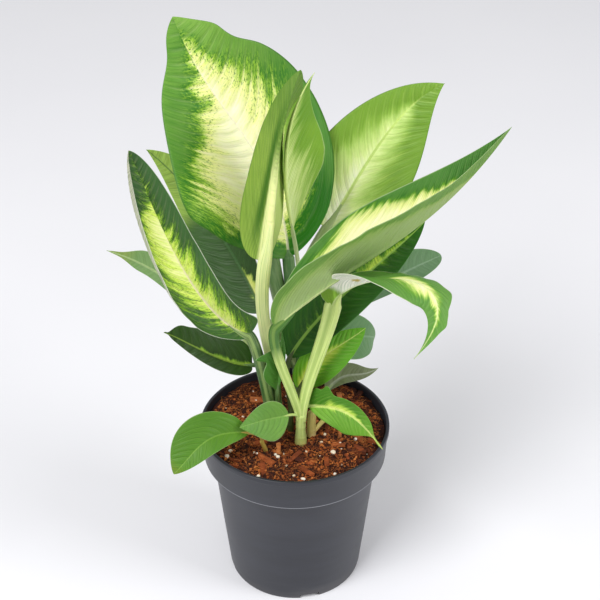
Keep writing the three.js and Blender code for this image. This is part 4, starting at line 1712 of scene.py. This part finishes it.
LEAVES: dict[str, Leaf] = {
    "leaf_tall_back": Leaf(
        rib=((-4, 28, 230), (-19, 42, 287), (-46, 46, 331), (-72, 46, 386)), roll=(21, -2),
        left=Side(
            51, 0.55, 0.85, (23, 26, 1), -6,
            bumps=((0.42, 0.3, 0.38), (0.1, 0.12, 0.12), (0.9, 0.06, -0.25)),
        ),
        right=Side(55, 0.75, 0.75, (26, 3, 13), -13, bumps=((0.95, 0.04, 0.2), (0.85, 0.05, -0.08))),
        finish=LeafFinish(
            "7aa850", "24700a", "a4cc3c", "ecf294", "f9f8cc", "f4ead0", "a9bf80", "3c6e20", seed=1.0,
            reach=(
                (
                    (0, -0.3), (0.1, 0.3), (0.18, 0.74), (0.42, 0.74), (0.55, 0.68), (0.64, 0.34),
                    (0.74, 0.12), (1, -0.3),
                ),
                (
                    (0, -0.4), (0.1, 0.0), (0.18, 0.36), (0.5, 0.48), (0.6, 0.5), (0.7, 0.42),
                    (0.8, 0.32), (0.88, 0.1), (1, -0.4),
                ),
            ),
            deeper=(0.8, 0.35, 1.2, 0.0), ragged=0.36, speckle=1.0, vein=0.4, vein_gap=9.0, rib_width=1.0,
            rib_share=0.6, rib_end=(0.7, 0.95),
        ),
        keel=1.4, size=Size.LARGE, stalk_radius=2.4, pleat=0.34,
    ),
    "leaf_centre_rolled": Leaf(
        rib=((-18, -12, 251), (-12, -15, 302), (-7, -19, 342), (4, -10, 376)), roll=(199, 201),
        left=Side(33, 0.75, 0.65, (36, 70, 47), -1), right=Side(22.8, 0.3, 0.75, (30, 70, 40), -7),
        finish=LeafFinish(
            "9cbc54", "3c6a10", "a4cc5c", "b8d470", "c8dc84", "f0f6a8", "a0be58", "4c7a20", seed=2.0,
            reach=(
                ((0, 1.5), (0.25, 1.4), (0.42, 0.6), (0.56, -0.3), (1, -0.4)),
                ((0, 0.1), (0.4, -0.3), (1, -0.4)),
            ),
            deeper=(0.15, 0.6), tip="5c8420", tip_from=(0.66, 0.9), ragged=0.5, speckle=0.1,
            vein_gap=10.0, vein_slope=2.2, threads=1.0, thread_width=0.36, rib_width=5.4, rib_share=0.95,
            # This blade has a painted shadow line along the left side of its midrib.
            rib_end=(0.3, 0.62), under_share=0.2, painted_rib_shadow=(10.0, 4.5, 1.0),
        ),
        keel=3.4, keel_fade=1.8, size=Size.LARGE, stalk_radius=5.2, pleat=0.2,
    ),
    "leaf_centre_young": Leaf(
        rib=((-1, 8, 261), (-5, 2, 300), (-2, 2, 336), (12, 5, 368)), roll=(198, 207),
        left=Side(28.5, 0.88, 1.28, (45, 14, 58), -5), right=Side(22, 0.9, 0.9, (110, 110, 110), -10),
        finish=LeafFinish(
            "94c044", "508c18", "bcd86c", "e4f2a0", "f0f8c4", "dcec98", "98c44c", "dcecb8", seed=3.0,
            reach=(((0, 0.7), (0.35, 0.45), (0.6, 0.0), (1, -0.4)),), deeper=(0.0, 0.6), ragged=0.6,
            soft=1.6, speckle=0.05, vein=0.3, vein_gap=9.0, vein_slope=2.0, threads=0.7,
            thread_width=0.26, rib_width=1.0, under_share=0.2, edge_share=0.35, tip="74a02c",
            tip_from=(0.4, 0.8),
        ),
        size=Size.LARGE, pleat=0.14,
    ),
    "leaf_back_right": Leaf(
        rib=((21, 52, 238), (42, 64, 271), (66, 72, 306), (95, 74, 331)), roll=(-2, 0),
        left=Side(34.5, 0.5, 1.1, (25, 14, 5), -11), right=Side(34, 0.6, 1.05, (25, 14, 5), -10),
        finish=LeafFinish(
            "78a03c", "5c8824", "a8cc58", "e0eea0", "fafce4", "c8e078", "9cc070", "4c7420", seed=4.0,
            reach=(
                ((0, 0.6), (0.3, 0.44), (0.55, 0.2), (0.72, 0.04), (0.85, -0.4), (1, -0.6)),
                ((0, 0.5), (0.3, 0.28), (0.55, 0.14), (0.72, 0.04), (0.85, -0.4), (1, -0.6)),
            ),
            deeper=(0.1, 0.4), ragged=0.42, feather=0.5, soft=2.0, speckle=0.05, vein=0.3, vein_green=0.2,
            vein_gap=9.0, vein_slope=0.7, rib_width=1.5, rib_end=(0.66, 0.9),
        ),
        keel=1.2, size=Size.LARGE, stalk_radius=2.0, pleat=0.16,
    ),
    "leaf_long_right": Leaf(
        rib=((-11, -20, 208), (31, -28, 252), (76, -36, 294), (120, -42, 356)), roll=(-79, -61),
        left=Side(30, 0.85, 1.05, (69, 63, 62), -3),
        right=Side(27, 0.55, 0.8, (74, 57, 61), -4, bumps=((0.86, 0.08, -0.25),)),
        finish=LeafFinish(
            "629452", "2c6c20", "88bc2c", "f0f69c", "fafac8", "dce8a0", "789c44", "d4e0b0", seed=5.0,
            reach=(
                (
                    (0, 0.6), (0.1, 0.68), (0.3, 0.7), (0.44, 0.9), (0.56, 0.84), (0.68, 0.64),
                    (0.78, 0.4), (0.88, 0), (1, -0.3),
                ),
            ),
            deeper=(0.4, 0.4), edge_share=0.4, ragged=0.18, feather=0.9, vein_gap=8.0, vein_slope=1.6,
            threads=0.5, thread_width=0.24, rib_width=1.0, rib_share=0.6, rib_end=(0.2, 0.4),
            under_share=0.86,
        ),
        keel=1.2, size=Size.LARGE, stalk_radius=2.4, pleat=0.12, wave=1.1,
    ),
    "leaf_front_left": Leaf(
        rib=((-29, -22, 204), (-58, -42, 250), (-78, -47, 303), (-90, -55, 348)), roll=(-12, -1),
        left=Side(
            20.5, 0.55, 0.7, (4, 10, 14), 62, bumps=((0.06, 0.12, -0.35),), hem=(0.7, (0, 70, 150)),
        ),
        right=Side(17, 0.45, 0.7, (30, 19, 3), 0, bumps=((0.07, 0.08, 0.6),)),
        finish=LeafFinish(
            "4a7448", "28521e", "8cc020", "d4ec5c", "f4f8ac", "f0e0c4", "c4c4ac", "eceee0", seed=6.0,
            reach=(
                (
                    (0, 0.0), (0.14, 0.06), (0.25, 0.2), (0.36, 0.34), (0.46, 0.6), (0.6, 0.66),
                    (0.68, 0.4), (0.74, -0.2), (1, -0.4),
                ),
                (
                    (0, 0.2), (0.12, 0.42), (0.25, 0.52), (0.4, 0.4), (0.5, 0.28), (0.6, 0.06),
                    (0.68, -0.2), (1, -0.4),
                ),
            ),
            deeper=(0.4, 0.7, 0.5, 0.7), ragged=0.5, feather=1.2, speckle=1.0, vein_gap=6.0,
            vein_slope=0.9, threads=0.2, rib_width=0.8, rib_share=0.7, rib_end=(0.35, 0.6),
            under_share=0.9, edge_share=0.5,
        ),
        keel=1.2, size=Size.LARGE, stalk_radius=2.6, pleat=0.16,
    ),
    "leaf_behind_left": Leaf(
        rib=((-21, 12, 199), (-41, 41, 226), (-67, 61, 258), (-96, 69, 287)), roll=(-26, 0),
        left=Side(20, 0.5, 1.1, (18, 12, 6), -14),
        right=Side(24, 0.55, 0.9, (25, 15, 5), -10, bumps=((0.22, 0.18, -0.4),)),
        finish=LeafFinish(
            "3a6030", "223e16", "7aa03c", "cfd868", "dfe48c", "406834", "8aa878", "f0f4e8", seed=7.0,
            reach=(
                ((0, 0.1), (0.1, -0.1), (0.2, -0.5), (1, -0.5)),
                ((0, 0.5), (0.14, 0.55), (0.22, 0.1), (0.3, -0.5), (1, -0.5)),
            ),
            deeper=(0.5, 0.2), tip="98b860", tip_from=(0.5, 0.64), ragged=0.4, speckle=0.2,
            edge_share=0.8,
        ),
        stalk_radius=1.8,
    ),
    "leaf_left_side": Leaf(
        rib=((-38, 12, 183), (-67, 15, 209), (-91, 14, 230), (-118, 12, 245)), roll=(178, 176),
        left=Side(14.5, 0.5, 1.15, (25, 15, 5), -10, bumps=((0.78, 0.08, 0.35), (0.92, 0.05, -0.2))),
        right=Side(7.5, 0.45, 1, (25, 16, 5), -9, bumps=((0.78, 0.08, 0.3), (0.92, 0.05, -0.2))),
        finish=LeafFinish(
            "7c9c6c", "54803c", "86a040", "c0cc70", "d0d890", "a4bc80", "7e9c74", "e0e8d4", seed=8.0,
            deeper=(0.6, 0.2), tip="8a9434", tip_from=(0.78, 0.9), threads=0.25, under_share=0.3,
            edge_share=0.8,
        ),
        stalk_radius=1.5,
    ),
    "leaf_low_left": Leaf(
        rib=((-28, 6, 161), (-49, 8, 165), (-70, 15, 172), (-86, 16, 180)), roll=(5, 1),
        left=Side(8.5, 0.3, 1.0, (26, 16, 5), -9, bumps=((0.94, 0.05, -0.6),)),
        right=Side(17, 0.3, 0.8, (25, 15, 5), -10, bumps=((0.84, 0.07, 0.2), (0.95, 0.045, -0.7))),
        finish=LeafFinish(
            "284a08", "183204", "5c8818", "90b034", "a0b848", "7c9834", "8ca878", "c8d4b0", seed=9.0,
            reach=(
                ((0, 0), (0.5, -0.05), (0.8, -0.3), (1, -0.4)),
                ((0, 0.12), (0.5, 0.02), (0.8, -0.3), (1, -0.4)),
            ),
            deeper=(0.4, 0.4, 0.3, 0.3), ragged=0.2, feather=0.8, speckle=0.1, vein_green=0.03,
            rib_width=0.9, rib_share=0.7, vein=0.35,
        ),
        keel=0.8,
    ),
    "leaf_dark_right": Leaf(
        rib=((-3, 2, 170), (21, 9, 202), (53, 12, 235), (81, 12, 266)), roll=(-4, -1),
        left=Side(20, 0.55, 0.9, (25, 15, 5), -10), right=Side(17, 0.65, 0.9, (26, 16, 5), -9),
        finish=LeafFinish(
            "2e6c12", "1a4a08", "5c9418", "b4cc44", "c8dc6c", "90b850", "88a870", "4c8030", seed=10.0,
            reach=(
                ((0, -0.3), (0.4, -0.1), (0.62, 0.25), (0.8, 0.1), (1, -0.3)),
                ((0, -0.4), (0.5, -0.4), (0.7, -0.1), (1, -0.4)),
            ),
            deeper=(0.8, 0.2, 0.8, 0.4), ragged=0.5, vein=0.35,
        ),
        stalk_radius=1.7,
    ),
    "leaf_arching_right": Leaf(
        rib=((24, -13, 220), (48, -31, 250), (80, -51, 254), (71, -65, 216)), roll=(-44, 18),
        left=Side(
            23.5, 0.7, 1.3, (-9, -61, 5), -8,
            bumps=((0.73, 0.035, 0.32), (0.8, 0.02, -0.12), (0.865, 0.02, 0.25)),
        ),
        right=Side(25, 0.9, 1.6, (122, 56, -31), -3, bumps=((0.17, 0.05, -0.4),)),
        finish=LeafFinish(
            "6a9a50", "3c8028", "8cbc38", "e8f094", "fafacc", "dce8a4", "fdfaec", "f4f4dc", seed=11.0,
            reach=(
                ((0, -0.4), (0.38, -0.1), (0.48, 0.4), (0.58, 0.35), (0.7, 0.1), (0.85, 0.05), (1, -0.3)),
                ((0, -0.4), (0.38, -0.3), (0.5, 0.2), (0.62, 0.4), (0.74, 0.25), (0.85, 0.05), (1, -0.3)),
            ),
            deeper=(0.3, 0.3), ragged=0.32, speckle=0.4, vein=0.3, vein_slope=1.2, soft=1.4,
            under_share=0.95, rib_width=0.8, rib_share=0.6, foot="6c9420", foot_to=0.13,
            spot=(6.0, 35.0, 3.8),
        ),
        size=Size.LARGE, stalk_radius=2.4, wave=0.9,
    ),
    "leaf_far_right": Leaf(
        rib=((27, 50, 170), (48, 54, 187), (73, 57, 201), (98, 58, 214)), roll=(189, 183),
        left=Side(10.5, 0.65, 0.45, (26, 18, 4), -8), right=Side(17, 0.55, 0.6, (25, 15, 5), -10),
        finish=LeafFinish(
            "6c8c70", "54785a", "7c9c60", "a8bc80", "b8c890", "84a080", "6e9070", "c0ccb4", seed=12.0,
            vein_green=0.04, under_share=0.4,
        ),
        keel=0.9, stalk_radius=1.6,
    ),
    "leaf_round_right": Leaf(
        rib=((15, 14, 158), (29, 28, 165), (46, 41, 160), (56, 66, 142)), roll=(178, 172),
        left=Side(16, 1, 0.7, (25, 13, 4), -12), right=Side(18.5, 0.6, 0.85, (25, 14, 5), -10),
        finish=LeafFinish(
            "6c906a", "4c7850", "7c9c60", "a8bc80", "b8c890", "7c9c74", "6a9066", "b8c8ac", seed=13.0,
            vein_green=0.04, under_share=0.4,
        ),
        keel=0.9, stalk_radius=1.6,
    ),
    "leaf_mid_right": Leaf(
        rib=((3, 2, 145), (14, 4, 164), (30, 6, 177), (46, 8, 189)), roll=(5, 3),
        left=Side(12, 0.55, 0.8, (25, 17, 5), -9), right=Side(15, 0.6, 0.9, (25, 14, 5), -10),
        finish=LeafFinish(
            "6cac2c", "4a9018", "a0cc34", "d8e464", "e4e888", "dce888", "88b060", "8cc050", seed=14.0,
            reach=(((0, 0.3), (0.5, 0.15), (0.8, -0.2), (1, -0.4)),), deeper=(0.2, 0.5), ragged=0.35,
            feather=0.8, soft=1.8, speckle=0.15, vein=0.3, vein_green=0.12, vein_gap=4.5, vein_slope=0.8,
            threads=0.15, rib_width=0.7, rib_share=0.6,
        ),
        keel=0.8,
    ),
    "leaf_low_right": Leaf(
        rib=((22, 26, 125), (34, 33, 132), (45, 37, 131), (58, 46, 130)), roll=(-2, -3),
        left=Side(9.5, 0.5, 1.05, (25, 14, 5), -11), right=Side(5, 0.6, 0.95, (25, 15, 5), -10),
        finish=LeafFinish(
            "8a9a7c", "566048", "90985c", "a8ac78", "b4b888", "a0a890", "808c6c", "b8bca0", seed=15.0,
            speckle=0.9, vein=0.15,
        ),
        keel=0.6, size=Size.SMALL, stalk_radius=1.6,
    ),
    "leaf_small_right": Leaf(
        rib=((9, -12, 141), (29, -20, 144), (43, -27, 138), (57, -36, 124)), roll=(3, 10),
        left=Side(
            8.5, 0.5, 0.9, (24, 15, 6), -10,
            bumps=((0.08, 0.06, 1.3), (0.19, 0.04, 0.9), (0.9, 0.1, -0.75)),
        ),
        right=Side(12.5, 0.7, 1.0, (24, 13, 3), -12, bumps=((0.6, 0.14, 0.15), (0.88, 0.1, -0.9))),
        finish=LeafFinish(
            "74aa38", "44801c", "98c440", "c4dc58", "dce878", "dce888", "88b868", "84b854", seed=16.0,
            reach=(
                ((0, -0.4), (0.14, -0.1), (0.24, 0.3), (0.5, 0.22), (0.75, -0.1), (1, -0.3)),
                ((0, -0.2), (0.14, 0.0), (0.5, -0.05), (0.7, -0.2), (1, -0.3)),
            ),
            deeper=(1.3, 0.1, 0.2, 0.3), soft=1.4, vein=0.25, vein_gap=4.5, vein_slope=0.7, tip="a4b860",
            tip_from=(0.78, 0.9), rib_share=0.6,
        ),
        keel=0.7, size=Size.SMALL, stalk_radius=1.2,
    ),
    "leaf_over_rim": Leaf(
        rib=((-29, -34, 136), (-50, -45, 142), (-63, -54, 137), (-76, -62, 125)), roll=(7, 2),
        left=Side(10, 0.7, 0.8, (25, 16, 5), -10), right=Side(18.5, 0.75, 0.7, (24, 15, 5), -11),
        finish=LeafFinish(
            "629032", "44761c", "8cb448", "a8cc60", "b8d470", "8cb44c", "88b06c", "a8c87c", seed=17.0,
            deeper=(0.5, 0.4, 0.6, 0.5), ragged=0.25, speckle=0.05, vein=0.3, vein_gap=5.5,
            vein_slope=0.7, threads=0.35, rib_width=0.6, rib_share=0.5, tip="7c8c30",
            tip_from=(0.88, 0.98),
        ),
        keel=0.7, stalk_radius=1.1,
    ),
    "leaf_small_front": Leaf(
        rib=((-4, -22, 141), (-15, -28, 143), (-23, -34, 145), (-35, -40, 145)), roll=(-3, -1),
        left=Side(15, 0.65, 0.95, (25, 14, 5), -11), right=Side(12, 0.55, 0.9, (25, 15, 5), -10),
        finish=LeafFinish(
            "74a04c", "50803c", "8cb45c", "a0c470", "acc880", "88b054", "88a878", "b8cc98", seed=18.0,
            vein=0.3, vein_gap=4.5, threads=0.3, rib_width=0.6, rib_share=0.6,
        ),
        keel=0.6, size=Size.SMALL, stalk_radius=0.9,
    ),
    "leaf_clasping": Leaf(
        rib=((-11, -14, 154), (-10, -14, 171), (-8.5, -13, 185), (-8, -11, 200)), roll=(-1, 8),
        left=Side(12.5, 1.5, 2.5, (35, 40, 30), -7, bumps=((0.67, 0.08, 2.3),)),
        right=Side(3.5, 1.1, 1.2, (25, 15, 5), -10),
        finish=LeafFinish(
            "4c8434", "3a7024", "6aa444", "84b454", "90bc60", "6ca048", "78a460", "a8c88c", seed=19.0,
            speckle=0.0, vein=0.15, vein_green=0.06, threads=0.4, rib_share=0.3,
        ),
        keel=0.6, size=Size.SMALL,
    ),
}

LEFT_SHOOT = StemFinish("f0f8ac", "305c24", "b0cc78", "b09a58", sheath_z=0.176)
GREEN_SHOOT = StemFinish("dce8a8", "44703a", "94b064", "b09a58")
CENTRE_SHOOT = StemFinish("c8da84", "3c6c22", "84a444", "c8b868")
DARK_SHOOT = StemFinish("5c6c38", "38481c", "2c3a18", "4a4424")
PALE_SHOOT = StemFinish("e2d48c", "c0b258", "9c8c3c", "e0c890")
SPROUT = StemFinish("c0a850", "a09040", "846c28", "907038")

SHOOTS: dict[str, Shoot] = {
    "shoot_left": Shoot(
        foot=(-10, -3), cane=((-10, -3, 116), (-11, -4, 128), (-12, -4, 140)), radii=(3.7, 3.6, 3.4),
        stalks=(
            Stalk("leaf_centre_rolled", (-12, -4, 134), (3.4, 4.4), 0.4, 0.4, 0.8, 0.2, tint=0.0),
            Stalk("leaf_front_left", (-14.5, -7, 119), (4, 3.6), 0.1, 0.12, 0.7, 0.8, tint=0.95),
            Stalk("leaf_left_side", (-12, -3, 135), (2, 1.6), 0.55, 0.25, tint=0.6),
            Stalk("leaf_low_left", (-11, -3, 126), (1.8, 1.5), 0.5, 0.4, tint=0.6),
            Stalk("leaf_clasping", (-11, -6, 130), (1.8, 1.4), 0.3, 0.3, tint=0.7),
        ),
        finish=LEFT_SHOOT, cane_tint=0.7,
    ),
    "shoot_centre": Shoot(
        foot=(4, -17), cane=((4, -17, 116), (4, -17, 126), (4, -17, 137)), radii=(4, 3.2, 3.3),
        stalks=(
            Stalk(
                "leaf_long_right", (3.5, -17.5, 133), (2.6, 3.8), 0.2, 0.18, 0.8, 0.8, tint=0.1,
                blade_tint=1.1,
            ),
            Stalk(
                "leaf_arching_right", (4.5, -17, 132), (3.0, 5.6), 0.3, 0.42, 0.6, 1.2, tint=0.05,
                merge=2.5,
            ),
            Stalk("leaf_small_front", (3.5, -18, 134), (1, 0.9), 0.4, 0.4, tint=0.3),
            Stalk("leaf_small_right", (5, -16, 132), (1.3, 1.3), 0.6, 0.4, tint=0.3),
        ),
        finish=CENTRE_SHOOT, cane_tint=0.1,
    ),
    "shoot_dark": Shoot(
        foot=(-3, -5), cane=((-3, -5, 116), (-3, -4, 124), (-2, -2, 132)), radii=(2.4, 2.3, 2.2),
        stalks=(
            Stalk("leaf_mid_right", (-2, -2, 129), (2, 1.5), 0.4, 0.4, tint=0.3),
            Stalk("leaf_dark_right", (-2.2, -2.5, 127), (2.2, 1.8), 0.4, 0.3, tint=0.5),
        ),
        finish=DARK_SHOOT, cane_tint=0.9,
    ),
    "shoot_back": Shoot(
        foot=(4, 20), cane=((4, 20, 116), (4, 20, 130), (3, 20, 150)), radii=(4.6, 4.4, 4),
        stalks=(
            Stalk("leaf_tall_back", (3, 20, 144), (4.6, 4.0), 0.4, 0.3, tint=1.0, merge=1.0),
            Stalk("leaf_centre_young", (3, 19, 146), (2, 1.3), 0.4, 0.4, tint=0.3),
            Stalk("leaf_back_right", (4, 21, 146), (3.2, 3.8), 0.3, 0.7, 0.8, 0.4, tint=0.5),
            Stalk("leaf_behind_left", (2, 20, 142), (2.4, 1.9), 0.4, 0.2, tint=0.6),
            Stalk("leaf_far_right", (6, 23, 122), (2.2, 1.7), 0.05, 0.2, tint=0.7),
            Stalk("leaf_round_right", (5, 20, 130), (2, 1.6), 0.4, 0.3, tint=0.7),
            Stalk("leaf_low_right", (6, 20, 122), (1.6, 1.3), 0.1, 0.3, tint=0.6),
        ),
        finish=GREEN_SHOOT, twig=((0, 21, 150), (-17, 27, 240), 3.8, 5.8), cane_tint=0.9,
    ),
    "shoot_stump": Shoot(
        foot=(11, -10), cane=((11, -10, 116), (11, -10, 124), (11.5, -9, 133)), radii=(3.1, 2.9, 2.7),
        stalks=(), finish=PALE_SHOOT, twig=((11.5, -10, 117), (19, -7, 125), 1.6, 1.5), cane_tint=0.5,
    ),
    "sprout_over_rim": Shoot(
        foot=(-19, -27), cane=((-19, -27, 116), (-20, -28, 120), (-21.5, -29, 125)),
        radii=(1.5, 1.4, 1.3),
        stalks=(Stalk("leaf_over_rim", (-21, -28.7, 123.5), (1.2, 1.2), 0.4, 0.4, tint=0.3),),
        finish=SPROUT, cane_tint=0.5,
    ),
}

GRAINS: tuple[Scatter, ...] = (
    Scatter(
        "mix_crumbs", Grain.LUMP, 330000, (1.0, 3.2), (1, 0.7, 0.55),
        GrainFinish("d88440", "944c1e", "2a1006"), seed=11, lift=0.35, warp=0.45, warp_size=1.3,
    ),
    Scatter(
        "bark_chips", Grain.CHIP, 12000, (2.5, 13), (1, 0.3, 0.16),
        GrainFinish("dc8c50", "984a20", "3c1606", stretch=(0.5, 0.5, 2.0)), seed=12, tilt=0.35, lift=0.7,
        warp=0.7, warp_size=2.5,
    ),
    Scatter(
        "coir_strands", Grain.STRAND, 190000, (3, 11), (1, 0.022, 0.022),
        GrainFinish("eca050", "b05c28", "54240e"), seed=13, tilt=0.4, lift=0.7, warp=1.2, warp_size=3.5,
    ),
    Scatter(
        "perlite_grains", Grain.LUMP, 5000, (1.2, 4.0), (1, 0.85, 0.8),
        GrainFinish("fffaf0", "f6ecd8", "c8b496", roughness=0.7), seed=14, lift=0.7, warp=0.4,
        warp_size=1.2, detail=2,
    ),
)


# Studio.


@dataclass(frozen=True)
class Lamp:
    """A soft rectangular light: where it is, what it looks at, its width and height, and its power."""

    name: str
    place: Triple
    target: Triple
    size: tuple[float, float]
    watts: float
    tint: Triple = (1.0, 1.0, 1.0)

    def build(self) -> None:
        """Hangs the light."""
        data = bpy.data.lights.new(self.name, "AREA")
        data.shape = "RECTANGLE"
        data.size, data.size_y = self.size
        data.energy = self.watts
        data.color = self.tint
        lamp = placed(self.name, data)
        lamp.location = self.place
        look = Vector(self.target) - Vector(self.place)
        lamp.rotation_euler = look.to_track_quat("-Z", "Y").to_euler()


@dataclass(frozen=True)
class Studio:
    """A pale floor, soft light and the camera. Sizes in metres."""

    floor_half: float = 4.0
    floor_colour: str = "f0f0f4"
    floor_mottle: str = "e9e9ee"
    sky: float = 0.45
    camera_place: Triple = (0.0035, -0.7193, 0.6784)
    camera_tilt: float = math.radians(57.25)
    lens: float = 81.1
    sensor: float = 36.0
    lamps: tuple[Lamp, ...] = (
        Lamp("overhead", (-1.3, -1.5, 2.4), (0, 0, 0.2), (1.6, 1.6), 74),
        Lamp("right_window", (2.2, -0.9, 1.5), (0, 0, 0.2), (1.2, 1.2), 34),
    )

    def build(self) -> None:
        """Sets the stage."""
        half = self.floor_half
        corners = np.array([(-half, -half, 0), (half, -half, 0), (half, half, 0), (-half, half, 0)])
        floor = mesh_object("floor", corners, [(0, 1, 2, 3)])
        material, bench = new_material("floor_paint")
        mottle = bench.noise(bench.place(), 3.0, 3.0)
        colour = bench.mix(mottle.step(0.3, 0.7) * 0.3, self.floor_colour, self.floor_mottle)
        bench.finish({"Base Color": colour, "Roughness": 0.6})
        floor.data.materials.append(material)

        world = bpy.data.worlds.new("studio")
        world.use_nodes = True
        sky = world.node_tree.nodes["Background"].inputs
        sky["Color"].default_value = (1.0, 1.0, 1.0, 1.0)
        sky["Strength"].default_value = self.sky
        for lamp in self.lamps:
            lamp.build()

        data = bpy.data.cameras.new("camera")
        data.lens = self.lens
        data.sensor_width = self.sensor
        camera = placed("camera", data)
        camera.location = self.camera_place
        camera.rotation_euler = (self.camera_tilt, 0, 0)
        scene = bpy.context.scene
        scene.world = world
        scene.camera = camera
        scene.view_settings.view_transform = "Standard"


def main() -> None:
    """Builds the plant around its frame."""
    logging.basicConfig(level=logging.INFO, format="%(message)s")
    slots = {part["node"]: part["material_slot"] for part in frame["record"]["subparts"]}
    Studio().build()
    pot = Pot()
    own(pot.build(), slots["pot"], "pot")
    mix = PottingMix(pot)
    own(mix.build(), slots["soil"], "soil")
    ground = mix.ground()
    for grains in GRAINS:
        own(grains.build(ground), slots["soil"])
    discard(ground)
    for node, grown in {**SHOOTS, **LEAVES}.items():
        own(grown.build(node), slots[node], node)


if __name__ == "__main__":
    main()
